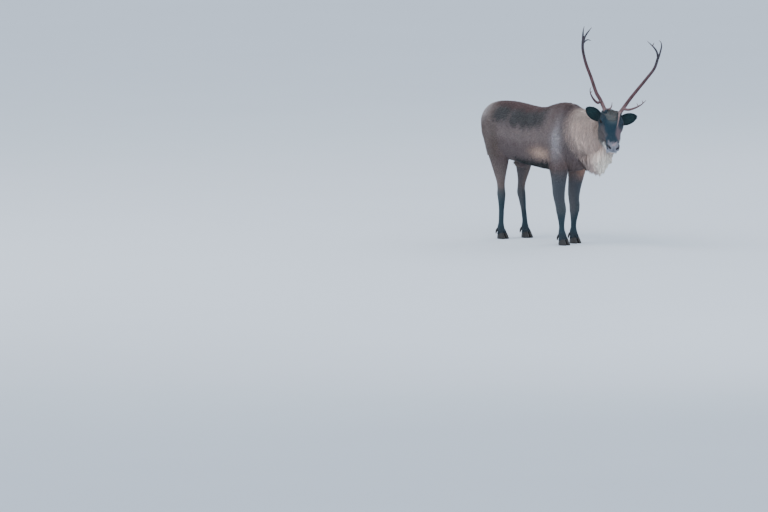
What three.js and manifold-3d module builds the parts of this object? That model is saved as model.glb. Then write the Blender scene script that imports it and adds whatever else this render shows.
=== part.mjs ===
// A standing reindeer bull in its winter coat, life size, as a still museum model.
// Millimetres. +X runs ahead along the body, +Y to the animal's left, +Z up, and the hooves stand on Z = 0.
// Body, neck and legs are skinned through named cross-sections, joined, and parted again with thin cuts.
import * as THREE from "three";
import { mergeVertices } from "three/addons/utils/BufferGeometryUtils.js";
import Module from "manifold-3d";

const wasm = await Module();
wasm.setup();

// Driving sizes
const gap = 0.3; // left between touching pieces
const sliver = 0.1; // facets finer than this are merged
const degree = Math.PI / 180;
const standHeight = 1068; // floor to the top of the withers
const browHeight = 1041; // floor to the forehead between the antlers
const browAhead = 575; // the same point ahead of the withers
const browLeft = -35;
const headYaw = -27.5; // the head looks to the animal's right
const headPitch = 47; // the face points this far below level
const headRoll = 7; // the crown leans to the animal's left
const faceLength = 325; // forehead between the antlers to the nose
const centreAhead = -51; // middle of the whole outline, which becomes the origin
const centreLeft = 63;

// Colours of the materials
const coatBrown = 0x6b6163;
const coatPale = 0xa8a09c;
const legDark = 0x464b52;
const faceDark = 0x35424a;
const hornBrown = 0x8a6f66;
const hoofDark = 0x2a2624;
const eyeDark = 0x15100d;

// Columns of a table, read at any place by a cubic through its rows
function rowAt(rows, key, place) {
  const last = rows.length - 1;
  const before = rows.findIndex((row) => row[key] > place);
  const i = Math.min(Math.max((before < 0 ? last : before) - 1, 0), last - 1);
  const [a, b] = [rows[i], rows[i + 1]];
  const [previous, next] = [rows[Math.max(i - 1, 0)], rows[Math.min(i + 2, last)]];
  const span = b[key] - a[key];
  const t = Math.min(Math.max((place - a[key]) / span, 0), 1);
  const read = { [key]: place };
  for (const column of Object.keys(a)) {
    if (column === key) continue;
    const slopeA = ((b[column] - previous[column]) / (b[key] - previous[key])) * span;
    const slopeB = ((next[column] - a[column]) / (next[key] - a[key])) * span;
    const rise = b[column] - a[column];
    read[column] =
      a[column] + t * (slopeA + t * (3 * rise - 2 * slopeA - slopeB + t * (slopeA + slopeB - 2 * rise)));
  }
  return read;
}

// A closed geometry becomes a solid, turned the right way out
function toSolid(geometry) {
  const bare = geometry.clone();
  bare.deleteAttribute("normal");
  bare.deleteAttribute("uv");
  const merged = mergeVertices(bare, 1e-4);
  const vertProperties = new Float32Array(merged.getAttribute("position").array);
  const triVerts = new Uint32Array(merged.index.array);
  const made = new wasm.Manifold(new wasm.Mesh({ numProp: 3, vertProperties, triVerts }));
  if (made.volume() > 0) return made;
  for (let i = 0; i < triVerts.length; i += 3) {
    [triVerts[i + 1], triVerts[i + 2]] = [triVerts[i + 2], triVerts[i + 1]];
  }
  return new wasm.Manifold(new wasm.Mesh({ numProp: 3, vertProperties, triVerts }));
}

// Joins rings of equally many points into one closed skin, with a fan over each end
function skin(rings) {
  const count = rings[0].length;
  const points = rings.flat();
  const faces = [];
  for (let i = 0; i + 1 < rings.length; i += 1) {
    for (let j = 0; j < count; j += 1) {
      const a = i * count + j;
      const b = i * count + ((j + 1) % count);
      faces.push(a, b, b + count, a, b + count, a + count);
    }
  }
  for (const [ring, first, turn] of [
    [rings[0], 0, 1],
    [rings.at(-1), points.length - count, -1],
  ]) {
    const middle = ring.reduce((sum, p) => sum.add(p), new THREE.Vector3()).divideScalar(count);
    const hub = points.push(middle) - 1;
    for (let j = 0; j < count; j += 1) {
      const [from, to] = [first + j, first + ((j + 1) % count)];
      faces.push(...(turn > 0 ? [hub, to, from] : [hub, from, to]));
    }
  }
  const geometry = new THREE.BufferGeometry().setFromPoints(points);
  geometry.setIndex(faces);
  return toSolid(geometry);
}

// A point of a superellipse: sideways and upright axes, half sizes to each side, and how square it is
function ovalPoint(middle, across, upright, size, angle) {
  const [c, s] = [Math.cos(angle), Math.sin(angle)];
  const power = 2 / (s > 0 ? size.squareTop : size.squareBottom);
  const wide = Math.sign(c) * Math.abs(c) ** power * (c > 0 ? size.left : size.right);
  const tall = Math.sign(s) * Math.abs(s) ** power * (s > 0 ? size.up : size.down);
  return middle.clone().addScaledVector(across, wide).addScaledVector(upright, tall);
}

function oval(middle, across, upright, size, sides) {
  const angles = Array.from({ length: sides }, (_, k) => (2 * Math.PI * k) / sides);
  return angles.map((angle) => ovalPoint(middle, across, upright, size, angle));
}

const ahead = new THREE.Vector3(1, 0, 0);
const leftward = new THREE.Vector3(0, 1, 0);
const upward = new THREE.Vector3(0, 0, 1);
const round = { squareTop: 2, squareBottom: 2 };

// A tube along a smooth curve through points, with its radius read along its length
function tube(points, radiusAt, { steps = 12, sides = 8, flat = 1, grow = 0 } = {}) {
  const curve = new THREE.CatmullRomCurve3(points.map((p) => new THREE.Vector3(...p)));
  const frames = curve.computeFrenetFrames(steps, false);
  const rings = Array.from({ length: steps + 1 }, (_, i) => {
    const radius = radiusAt(i / steps) + grow;
    const size = { ...round, left: radius, right: radius, up: radius * flat, down: radius * flat };
    return oval(curve.getPointAt(i / steps), frames.normals[i], frames.binormals[i], size, sides);
  });
  return skin(rings);
}

function ellipsoid(middle, radii, frame) {
  const geometry = new THREE.SphereGeometry(1, 10, 7).scale(...radii).translate(...middle);
  return toSolid(frame ? geometry.applyMatrix4(frame) : geometry);
}

const join = (...solids) => wasm.Manifold.union(solids);

// The largest closed body of a solid
function largest(solid) {
  return solid.decompose().reduce((best, one) => (one.volume() > best.volume() ? one : best));
}

// A piece cut back to the slightly larger forms that carry it
function seated(piece, ...carriers) {
  return largest(carriers.reduce((left, carrier) => left.subtract(carrier), piece));
}

// A wide cut as thin as the gap, through a point and square to a normal
function cut(point, normal, wide) {
  const turn = new THREE.Quaternion().setFromUnitVectors(upward, normal.clone().normalize());
  const frame = new THREE.Matrix4().compose(point, turn, new THREE.Vector3(1, 1, 1));
  return toSolid(new THREE.BoxGeometry(wide, wide, gap).applyMatrix4(frame));
}

// Trunk and neck: top and bottom of the coat, half width, and the height where it is widest
const trunkSides = 28;
const trunkStep = 56;
const trunk = [
  { x: -872, top: 925, bottom: 830, half: 34, middle: 882, squareTop: 2, squareBottom: 2 },
  { x: -859, top: 970, bottom: 770, half: 86, middle: 878, squareTop: 2, squareBottom: 2 },
  { x: -829, top: 1005, bottom: 700, half: 132, middle: 868, squareTop: 2, squareBottom: 2 },
  { x: -780, top: 1026, bottom: 645, half: 160, middle: 850, squareTop: 2, squareBottom: 2.1 },
  { x: -690, top: 1037, bottom: 606, half: 180, middle: 830, squareTop: 2.1, squareBottom: 2.2 },
  { x: -560, top: 1036, bottom: 586, half: 187, middle: 805, squareTop: 2.1, squareBottom: 2.2 },
  { x: -400, top: 1020, bottom: 568, half: 202, middle: 780, squareTop: 2.1, squareBottom: 2.2 },
  { x: -284, top: 1015, bottom: 558, half: 206, middle: 768, squareTop: 2, squareBottom: 2.2 },
  { x: -190, top: 1026, bottom: 550, half: 200, middle: 765, squareTop: 1.9, squareBottom: 2.2 },
  { x: -110, top: 1050, bottom: 546, half: 188, middle: 768, squareTop: 1.8, squareBottom: 2.2 },
  { x: -15, top: standHeight, bottom: 545, half: 176, middle: 772, squareTop: 1.7, squareBottom: 2.1 },
  { x: 65, top: 1064, bottom: 547, half: 166, middle: 775, squareTop: 1.8, squareBottom: 2 },
  { x: 132, top: 1052, bottom: 556, half: 152, middle: 782, squareTop: 1.9, squareBottom: 1.9 },
  { x: 190, top: 1037, bottom: 572, half: 137, middle: 800, squareTop: 2, squareBottom: 1.8 },
  { x: 240, top: 1024, bottom: 592, half: 125, middle: 820, squareTop: 2, squareBottom: 1.7 },
  { x: 300, top: 1012, bottom: 615, half: 115, middle: 840, squareTop: 2, squareBottom: 1.7 },
  { x: 360, top: 1008, bottom: 642, half: 107, middle: 855, squareTop: 2, squareBottom: 1.7 },
  { x: 420, top: 1010, bottom: 682, half: 100, middle: 872, squareTop: 2, squareBottom: 1.7 },
  { x: 470, top: 1016, bottom: 738, half: 92, middle: 890, squareTop: 2, squareBottom: 1.8 },
  { x: 510, top: 1014, bottom: 805, half: 78, middle: 915, squareTop: 2, squareBottom: 2 },
  { x: 530, top: 1000, bottom: 850, half: 58, middle: 930, squareTop: 2, squareBottom: 2 },
];
const neckBow = (x) => -3.2e-4 * Math.max(x - 300, 0) ** 2; // the neck bows to the right

// Low swellings and hollows of the flanks: where, how far along and up they reach, and how far they stand out
const swellings = [
  { name: "haunch", x: -665, z: 785, along: 105, tall: 150, by: 8 },
  { name: "shoulder", x: 15, z: 830, along: 90, tall: 150, by: 8 },
  { name: "flank", x: -500, z: 770, along: 60, tall: 90, by: -9 },
  { name: "behind the elbow", x: -125, z: 680, along: 50, tall: 90, by: -6 },
  { name: "before the shoulder", x: 165, z: 830, along: 40, tall: 110, by: -5 },
];

function swelling(x, z) {
  const share = ({ x: atX, z: atZ, along, tall, by }) =>
    by * Math.exp(-(((x - atX) / along) ** 2) - ((z - atZ) / tall) ** 2);
  return swellings.reduce((sum, one) => sum + share(one), 0);
}

// The neck joins the body along a slope down to the breast and upright below it
// Its hair deepens ahead of that line
const neckBase = { x: 252, z: 705, tilt: 28 };
const neckHair = { depth: 24, rampLength: 110 };
const neckNormal = new THREE.Vector3(Math.cos(neckBase.tilt * degree), 0, Math.sin(neckBase.tilt * degree));

function beforeNeckBase(point) {
  if (point.z < neckBase.z) return point.x - neckBase.x;
  return (point.x - neckBase.x) * neckNormal.x + (point.z - neckBase.z) * neckNormal.z;
}

// Everything behind that line, moved ahead by an amount
function behindNeckBase(shift) {
  const reach = 900;
  const slope = Math.tan(neckBase.tilt * degree);
  const outline = new THREE.Shape([
    new THREE.Vector2(neckBase.x + shift, 0),
    new THREE.Vector2(neckBase.x + shift, neckBase.z),
    new THREE.Vector2(neckBase.x + shift - slope * reach, neckBase.z + reach),
    new THREE.Vector2(-1200, neckBase.z + reach),
    new THREE.Vector2(-1200, 0),
  ]);
  const block = new THREE.ExtrudeGeometry(outline, { depth: 800, bevelEnabled: false });
  return toSolid(block.rotateX(Math.PI / 2).translate(0, 400, 0));
}

function hairDepth(point) {
  const share = THREE.MathUtils.smoothstep(beforeNeckBase(point), 0, neckHair.rampLength);
  return neckHair.depth * share;
}

// A point of the outline of trunk and neck, and how far under the tips of the coat it is taken
function coatPoint(x, angle, under) {
  const row = rowAt(trunk, "x", x);
  const size = {
    left: row.half,
    right: row.half,
    up: row.top - row.middle,
    down: row.middle - row.bottom,
    squareTop: row.squareTop,
    squareBottom: row.squareBottom,
  };
  const middle = new THREE.Vector3(x, neckBow(x), row.middle);
  const point = ovalPoint(middle, leftward, upward, size, angle);
  point.y += ((point.y - middle.y) / row.half) * swelling(x, point.z);
  const inward = middle.clone().sub(point).normalize();
  return point.addScaledVector(inward, typeof under === "function" ? under(point) : under);
}

function trunkRing(x, grow) {
  const angles = Array.from({ length: trunkSides }, (_, k) => (2 * Math.PI * k) / trunkSides);
  return angles.map((angle) => coatPoint(x, angle, (point) => hairDepth(point) - grow));
}

function trunkAndNeck(grow = 0) {
  const [first, last] = [trunk[0].x, trunk.at(-1).x];
  const steps = Math.round((last - first) / trunkStep);
  const rump = [first, first + 5, first + 14, first + 28];
  const places = Array.from({ length: steps + 1 }, (_, i) => first + ((last - first) * i) / steps);
  const front = [last - 20, last - 8, last];
  const inside = places.filter((x) => x > rump.at(-1) + 10 && x < front[0] - 10);
  const rings = [...rump, ...inside, ...front].map((x) => trunkRing(x, grow));
  for (const point of rings[0]) point.x -= grow;
  for (const point of rings.at(-1)) point.x += grow;
  return skin(rings);
}

// Throat mane and ruff: where the hair ends below the neck
const maneMass = [
  { x: 195, top: 800, middle: 740, bottom: 592, half: 116 },
  { x: 225, top: 800, middle: 735, bottom: 570, half: 108 },
  { x: 300, top: 810, middle: 745, bottom: 546, half: 94 },
  { x: 384, top: 830, middle: 760, bottom: 531, half: 82 },
  { x: 440, top: 850, middle: 775, bottom: 552, half: 71 },
  { x: 500, top: 870, middle: 800, bottom: 618, half: 56 },
  { x: 540, top: 870, middle: 810, bottom: 676, half: 40 },
  { x: 556, top: 850, middle: 800, bottom: 730, half: 22 },
];

// Half the width of the hanging mane at a height
function maneHalf(row, z) {
  const share = THREE.MathUtils.clamp((row.middle - z) / (row.middle - row.bottom), 0, 1);
  return row.half * (1 - share ** 1.5) ** (1 / 1.5);
}

// The dense roots of the mane reach less than half way down to its tips
const maneRoots = { narrow: 0.72, lift: 84 };

function maneCore() {
  const steps = 10;
  const [first, last] = [maneMass[0].x + 12, maneMass.at(-1).x - 34];
  const rings = Array.from({ length: steps + 1 }, (_, i) => {
    const row = rowAt(maneMass, "x", first + ((last - first) * i) / steps);
    const half = row.half * maneRoots.narrow;
    const down = Math.max(row.middle - row.bottom - maneRoots.lift, 20);
    const up = row.top - row.middle;
    const size = { left: half, right: half, up, down, squareTop: 2, squareBottom: 1.6 };
    return oval(new THREE.Vector3(row.x, neckBow(row.x), row.middle), leftward, upward, size, 12);
  });
  return skin(rings);
}

// A lock is a flat blade with a ridge, widest near its root and bent along a path down to its tip
const lockStations = [
  { at: 0, wide: 0.7, thick: 1 },
  { at: 0.28, wide: 0.95, thick: 1 },
  { at: 0.66, wide: 0.8, thick: 0.75 },
  { at: 1, wide: 0.26, thick: 0.2 },
];

function lock(pointAt, outwardAt, width, thick) {
  const rings = lockStations.map(({ at, wide, thick: share }) => {
    const middle = pointAt(at);
    const run = pointAt(Math.min(at + 0.1, 1)).sub(pointAt(Math.max(at - 0.1, 0)));
    const outward = outwardAt(at);
    const across = new THREE.Vector3().crossVectors(run, outward).normalize();
    const raised = new THREE.Vector3().crossVectors(across, run).normalize();
    const [halfWide, halfThick] = [(width * wide) / 2, (thick * share) / 2];
    return [
      middle.clone().addScaledVector(across, halfWide),
      middle.clone().addScaledVector(raised, halfThick),
      middle.clone().addScaledVector(across, -halfWide),
      middle.clone().addScaledVector(raised, -halfThick),
    ];
  });
  return skin(rings);
}

// The same draws on every run
function seeded(seed) {
  let state = seed;
  return (low, high) => {
    state = (Math.imul(state, 1664525) + 1013904223) >>> 0;
    return low + ((high - low) * state) / 4294967296;
  };
}

// The ruff: rows of locks down each side of the neck, each lying on the row below it
const ruff = {
  firstX: 120,
  lastX: 506,
  columns: 6,
  turns: [80, 44, 10, -24],
  span: 47,
  width: 64,
  thick: 12,
  root: 15,
  rootShare: 0.28,
  sink: 3,
};

// How far under the tips of the coat a lock of the ruff lies: deep at its root, then rising to its free tip
function ruffDepth(hair, t, lift) {
  const { root, rootShare, sink } = ruff;
  if (t < rootShare) return hair + root * (1 - t / rootShare) - (sink * t) / rootShare;
  return ((hair - sink) * (1 - t)) / (1 - rootShare) - lift * t;
}

function ruffLock(draw, turn, startX, side) {
  const x = startX + draw(-4, 4);
  const start = (turn + draw(-3, 3)) * degree;
  const span = (ruff.span + draw(-4, 6)) * degree;
  const [sweep, wave, lift] = [draw(-30, -18), draw(-5, 5), draw(0, 4)];
  const width = ruff.width * draw(0.88, 1.1);
  const turnAt = (t) => (side > 0 ? start - span * t : Math.PI - start + span * t);
  const pointAt = (t) => {
    const along = Math.min(x + sweep * t + wave * Math.sin(5 * t), trunk.at(-1).x - 2);
    return coatPoint(along, turnAt(t), (point) => ruffDepth(hairDepth(point), t, lift));
  };
  if (beforeNeckBase(pointAt(0)) < 22 || x > trunk.at(-1).x - 6) return [];
  const outwardAt = (t) => {
    const { x: along } = pointAt(t);
    return coatPoint(along, turnAt(t), -20).sub(coatPoint(along, turnAt(t), 20));
  };
  return [lock(pointAt, outwardAt, width, ruff.thick)];
}

function ruffLocks() {
  const draw = seeded(11);
  const step = (ruff.lastX - ruff.firstX) / ruff.columns;
  const columns = Array.from({ length: ruff.columns + 1 }, (_, column) => column);
  return ruff.turns.flatMap((turn, rank) =>
    columns.flatMap((column) => {
      const startX = ruff.firstX + (column + (rank % 2) / 2) * step;
      return [1, -1].flatMap((side) => ruffLock(draw, turn, startX, side));
    }),
  );
}

// The throat mane: hanging locks in five files, the middle ones longest
const maneFiles = [
  { share: 0, root: 100, rise: -6, width: 54 },
  { share: 0.6, root: 70, rise: 12, width: 50 },
  { share: 1, root: 20, rise: 70, width: 50 },
];
const maneColumns = { first: 262, last: 536, count: 6, thick: 13 };

function maneLocks() {
  const draw = seeded(29);
  const locks = [];
  maneFiles.forEach(({ share, root, rise, width }, file) => {
    for (let column = 0; column <= maneColumns.count; column += 1) {
      for (const side of share ? [1, -1] : [0]) {
        const step = (maneColumns.last - maneColumns.first) / maneColumns.count;
        const x = maneColumns.first + (column + (file % 2 ? 0.5 : 0)) * step + draw(-6, 6);
        if (x > 550) continue;
        const row = rowAt(maneMass, "x", x);
        const top = row.middle - root;
        const low = Math.min(row.bottom + rise + draw(-2, 10), top - 70);
        const sweep = draw(-16, 4);
        const wave = draw(-6, 6);
        const pointAt = (t) => {
          const z = top + (low - top) * t;
          const spread = maneHalf(row, z) * (0.72 + 0.28 * Math.min(t * 1.6, 1));
          const y = neckBow(row.x) + side * share * (t < 0.2 ? spread * 0.8 : spread);
          return new THREE.Vector3(row.x + sweep * t + wave * Math.sin(5 * t), y, z);
        };
        const outwardAt = () => new THREE.Vector3(0, side || 1, 0);
        locks.push(lock(pointAt, outwardAt, width * draw(0.9, 1.1), maneColumns.thick));
      }
    }
  });
  return locks;
}

// Legs: at each height how far the bone line lies ahead of the hoof and out from the midline, and half sizes
const foreLeg = {
  anchorX: 25,
  anchorZ: 760,
  swing: 1.5,
  rows: [
    { z: 50, ahead: 13, out: 86, long: 25, wide: 27 },
    { z: 66, ahead: 8, out: 86, long: 27, wide: 27 },
    { z: 88, ahead: -1, out: 86, long: 28, wide: 26 },
    { z: 118, ahead: -2, out: 87, long: 22, wide: 20 },
    { z: 165, ahead: -2, out: 88, long: 25, wide: 22 },
    { z: 215, ahead: -1, out: 90, long: 34, wide: 30 },
    { z: 250, ahead: 0, out: 91, long: 39, wide: 34 },
    { z: 290, ahead: -3, out: 92, long: 41, wide: 36 },
    { z: 330, ahead: -13, out: 93, long: 42, wide: 37 },
    { z: 380, ahead: -17, out: 95, long: 47, wide: 42 },
    { z: 440, ahead: -12, out: 97, long: 54, wide: 46 },
    { z: 500, ahead: -5, out: 99, long: 63, wide: 52 },
    { z: 560, ahead: -1, out: 100, long: 76, wide: 58 },
    { z: 620, ahead: 0, out: 100, long: 88, wide: 65 },
    { z: 690, ahead: -5, out: 98, long: 99, wide: 73 },
    { z: 760, ahead: -10, out: 90, long: 106, wide: 78 },
  ],
  cuts: { bodyOut: 100, bodyZ: 572, rise: 0.8, joint: 272, fetlock: 104 },
  upperName: "forearm",
};
const hindLeg = {
  anchorX: -700,
  anchorZ: 800,
  swing: 2.1,
  rows: [
    { z: 50, ahead: 13, out: 98, long: 23, wide: 25 },
    { z: 66, ahead: 7, out: 98, long: 25, wide: 25 },
    { z: 86, ahead: -1, out: 98, long: 26, wide: 24 },
    { z: 115, ahead: 0, out: 97, long: 21, wide: 19 },
    { z: 160, ahead: 0, out: 94, long: 21, wide: 19 },
    { z: 230, ahead: -2, out: 88, long: 23, wide: 19 },
    { z: 285, ahead: -3, out: 84, long: 29, wide: 22 },
    { z: 335, ahead: -6, out: 81, long: 37, wide: 25 },
    { z: 375, ahead: -4, out: 82, long: 32, wide: 24 },
    { z: 425, ahead: 4, out: 89, long: 34, wide: 27 },
    { z: 510, ahead: 18, out: 102, long: 56, wide: 42 },
    { z: 578, ahead: 28, out: 108, long: 76, wide: 55 },
    { z: 650, ahead: 24, out: 108, long: 99, wide: 70 },
    { z: 736, ahead: 18, out: 102, long: 117, wide: 80 },
    { z: 800, ahead: 0, out: 92, long: 128, wide: 84 },
  ],
  cuts: { bodyOut: 105, bodyZ: 606, rise: 0.6, joint: 320, fetlock: 102 },
  upperName: "shank",
};
const legSides = 12;
const legs = [
  { name: "fore_right", side: -1, hoofX: 60, form: foreLeg },
  { name: "fore_left", side: 1, hoofX: -12, form: foreLeg },
  { name: "hind_right", side: -1, hoofX: -633, form: hindLeg },
  { name: "hind_left", side: 1, hoofX: -583, form: hindLeg },
];

function legCentre(leg, row) {
  const { anchorX, anchorZ, swing } = leg.form;
  const share = (row.z / anchorZ) ** swing;
  const x = leg.hoofX + (anchorX - leg.hoofX) * share + row.ahead;
  return new THREE.Vector3(x, leg.side * row.out, row.z);
}

function legColumn(leg, grow = 0) {
  const rings = leg.form.rows.map((row) => {
    const [long, wide] = [row.long + grow, row.wide + grow];
    const size = { ...round, left: long, right: long, up: wide, down: wide };
    return oval(legCentre(leg, row), ahead, leftward, size, legSides);
  });
  return skin(rings);
}

// Toes: half length, half width towards the cleft and away from it, at each height above the sole
const toeRows = [
  { z: 0, ahead: 22, long: 40, cleft: 14.5, outer: 22 },
  { z: 8, ahead: 22, long: 41, cleft: 15, outer: 23 },
  { z: 28, ahead: 16, long: 35, cleft: 15, outer: 21 },
  { z: 50, ahead: 10, long: 28, cleft: 15, outer: 18 },
  { z: 82, ahead: 0, long: 19, cleft: 13, outer: 12 },
];
const toeSpread = 17; // from the middle of the foot to the middle of a toe
const coronet = { ahead: 20, z: 33, slope: 0.32 }; // where hair gives way to horn
const toeSides = 10;

function toe(leg, away, grow = 0) {
  const footY = leg.side * leg.form.rows[0].out;
  const rings = toeRows.map((row) => {
    const middle = new THREE.Vector3(leg.hoofX + row.ahead, footY + away * toeSpread, row.z);
    const size = {
      left: row.long + grow,
      right: row.long * 0.92 + grow,
      up: row.outer + grow,
      down: row.cleft + grow,
      squareTop: 2.1,
      squareBottom: 2.6,
    };
    return oval(middle, ahead, leftward.clone().multiplyScalar(away), size, toeSides);
  });
  return skin(rings);
}

function dewclaw(leg, away) {
  const footY = leg.side * leg.form.rows[0].out;
  const path = [
    [-10, 10, 82],
    [-25, 16, 68],
    [-33, 19, 51],
    [-35, 20, 34],
  ].map(([x, y, z]) => [leg.hoofX + x, footY + away * y, z]);
  return tube(path, (t) => 10 - 7 * t ** 2.2, { steps: 2, sides: 5 });
}

// Tail: a short core under locks that hang past it, close to the buttocks
const tailPath = [
  [-822, 0, 985],
  [-852, 0, 968],
  [-872, 0, 932],
  [-877, 0, 890],
];
const buttockX = -866;
const tailRows = [
  { from: 980, to: 884, reach: 28, turns: [-65, 65] },
  { from: 968, to: 872, reach: 28, turns: [0] },
  { from: 925, to: 838, reach: 24, turns: [-50, 50] },
];

function tailLocks() {
  const draw = seeded(5);
  return tailRows.flatMap(({ from, to, reach, turns }) =>
    turns.map((turn) => {
      const angle = (turn + draw(-6, 6)) * degree;
      const low = to + draw(-6, 6);
      const outwardAt = () => new THREE.Vector3(-Math.cos(angle), Math.sin(angle), 0);
      const pointAt = (t) => {
        const out = reach * (0.35 + 0.65 * Math.sin(Math.PI * Math.min(t * 0.75, 0.5))) - 10 * t * t;
        const z = from + (low - from) * t;
        const x = buttockX + 0.35 * Math.max(z - 930, 0);
        return new THREE.Vector3(x - out * Math.cos(angle) * 0.55, out * Math.sin(angle), z);
      };
      return lock(pointAt, outwardAt, 42, 11);
    }),
  );
}

// Sheath below the belly
const sheath = { x: -520, z: 572, long: 62, wide: 22, deep: 32 };

// The head's own frame: along the face, to its left, and out of the forehead, from the brow
function headAxes() {
  const facing = new THREE.Vector3(Math.cos(headYaw * degree), Math.sin(headYaw * degree), 0);
  const sideways = new THREE.Vector3().crossVectors(upward, facing);
  const crown = upward.clone().applyAxisAngle(facing, -headRoll * degree);
  const temple = sideways.clone().applyAxisAngle(facing, -headRoll * degree);
  const along = facing.clone().multiplyScalar(Math.cos(headPitch * degree));
  along.addScaledVector(crown, -Math.sin(headPitch * degree));
  const out = new THREE.Vector3().crossVectors(along, temple);
  return { facing, sideways, along, temple, out };
}
const brow = new THREE.Vector3(browAhead, browLeft, browHeight);
const headAxis = headAxes();
const headFrame = new THREE.Matrix4()
  .makeBasis(headAxis.along, headAxis.temple, headAxis.out)
  .setPosition(brow);
const levelFrame = new THREE.Matrix4()
  .makeBasis(headAxis.facing, headAxis.sideways, upward)
  .setPosition(brow);
const inFrame = (points, frame) =>
  points.map((p) => new THREE.Vector3(...p).applyMatrix4(frame).toArray());

// Upper head and lower jaw, sections square to the face, as shares of its length ahead of the brow
const upperHead = [
  { at: -0.29, top: -72, bottom: -98, half: 22, squareTop: 2, squareBottom: 2 },
  { at: -0.24, top: -52, bottom: -108, half: 48, squareTop: 2, squareBottom: 2 },
  { at: -0.12, top: -20, bottom: -114, half: 68, squareTop: 2, squareBottom: 2.1 },
  { at: 0, top: -1, bottom: -114, half: 75, squareTop: 2.2, squareBottom: 2.2 },
  { at: 0.12, top: -3, bottom: -112, half: 85, squareTop: 2.3, squareBottom: 2.2 },
  { at: 0.22, top: -9, bottom: -108, half: 91, squareTop: 2.2, squareBottom: 2.2 },
  { at: 0.34, top: -17, bottom: -102, half: 84, squareTop: 2, squareBottom: 2.2 },
  { at: 0.48, top: -26, bottom: -96, half: 69, squareTop: 2, squareBottom: 2.2 },
  { at: 0.63, top: -34, bottom: -91, half: 58, squareTop: 2.1, squareBottom: 2.2 },
  { at: 0.77, top: -38, bottom: -88, half: 52, squareTop: 2.2, squareBottom: 2.3 },
  { at: 0.88, top: -40, bottom: -88, half: 53, squareTop: 2.3, squareBottom: 2.4 },
  { at: 0.95, top: -45, bottom: -88, half: 49, squareTop: 2.3, squareBottom: 2.4 },
  { at: 0.985, top: -53, bottom: -86, half: 40, squareTop: 2.2, squareBottom: 2.2 },
  { at: 1, top: -63, bottom: -80, half: 24, squareTop: 2, squareBottom: 2 },
];
const lowerJaw = [
  { at: 0, top: -72, bottom: -126, half: 48, squareTop: 2, squareBottom: 2 },
  { at: 0.1, top: -70, bottom: -154, half: 70, squareTop: 2, squareBottom: 2 },
  { at: 0.24, top: -70, bottom: -170, half: 78, squareTop: 2, squareBottom: 2 },
  { at: 0.38, top: -70, bottom: -172, half: 76, squareTop: 2, squareBottom: 2 },
  { at: 0.54, top: -70, bottom: -166, half: 65, squareTop: 2, squareBottom: 2 },
  { at: 0.7, top: -70, bottom: -150, half: 50, squareTop: 2, squareBottom: 2 },
  { at: 0.84, top: -70, bottom: -136, half: 44, squareTop: 2, squareBottom: 2 },
  { at: 0.93, top: -72, bottom: -131, half: 38, squareTop: 2, squareBottom: 2 },
  { at: 0.975, top: -78, bottom: -117, half: 24, squareTop: 2, squareBottom: 2 },
];

function headLoft(rows, steps, sides, grow = 0) {
  const [first, last] = [rows[0].at, rows.at(-1).at];
  const places = Array.from({ length: steps + 1 }, (_, i) => {
    const t = i / steps;
    return first + (last - first) * (t + 0.06 * Math.sin(2 * Math.PI * t) * -1);
  });
  const rings = places.map((at, i) => {
    const row = rowAt(rows, "at", at);
    const middle = (row.top + row.bottom) / 2;
    const tall = (row.top - row.bottom) / 2 + grow;
    const size = { ...row, left: row.half + grow, right: row.half + grow, up: tall, down: tall };
    const lengthen = i === 0 ? -grow : i === steps ? grow : 0;
    return oval(new THREE.Vector3(at * faceLength + lengthen, 0, middle), leftward, upward, size, sides);
  });
  return skin(rings).transform(headFrame.elements);
}

// The tuft of the forehead: short locks from between the antlers that lie down over the brow
const tuftRows = [
  { from: -0.1, length: 78, sides: [-32, 0, 32] },
  { from: 0.02, length: 72, sides: [-17, 17] },
];

function foreheadTuft() {
  const draw = seeded(3);
  return tuftRows.flatMap(({ from, length, sides }) =>
    sides.map((side) => {
      const reach = length * draw(0.85, 1.15);
      const spread = draw(-5, 5);
      const pointAt = (t) => {
        const at = from + (reach * t) / faceLength;
        const row = rowAt(upperHead, "at", at);
        const drop = Math.abs(side / row.half) ** 2.2 * (row.top - row.bottom) * 0.2;
        const out = row.top - drop - 10 + 15 * Math.sin(Math.PI * Math.min(t + 0.1, 0.75));
        return new THREE.Vector3(at * faceLength, side + spread * t, out).applyMatrix4(headFrame);
      };
      return lock(pointAt, () => headAxis.out, 36, 11);
    }),
  );
}

// Eyes, with a raised lid round each
const eye = { along: 0.235, side: 74, out: -42, radius: 17.5 };
const lidRadius = 4.5;
const eyeMiddle = (side) => [eye.along * faceLength, side * eye.side, eye.out];

function lid(side) {
  const gaze = new THREE.Vector3(0.25, side, 0.32).normalize();
  const turn = new THREE.Quaternion().setFromUnitVectors(upward, gaze);
  const ring = new THREE.TorusGeometry(eye.radius * 0.8, lidRadius, 5, 12).scale(1.12, 0.9, 1);
  ring.translate(0, 0, eye.radius * 0.52).applyQuaternion(turn).translate(...eyeMiddle(side));
  return toSolid(ring.applyMatrix4(headFrame));
}

// Nostrils: slanting slits at the front corners of the muzzle
function nostril(side) {
  const slit = new THREE.SphereGeometry(1, 8, 6).scale(15, 6, 10).rotateZ(side * -0.5).rotateY(0.35);
  slit.translate(0.955 * faceLength, side * 31, -56);
  return toSolid(slit.applyMatrix4(headFrame));
}

// The mouth runs back from the front of the lips as a narrow groove
function mouthLine(side) {
  const path = [
    [1.02 * faceLength, side * 4, -87],
    [0.97 * faceLength, side * 36, -88],
    [0.88 * faceLength, side * 47, -89],
    [0.76 * faceLength, side * 47, -91],
    [0.66 * faceLength, side * 48, -93],
  ];
  return tube(inFrame(path, headFrame), () => 2.6, { steps: 6, sides: 5 });
}

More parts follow.
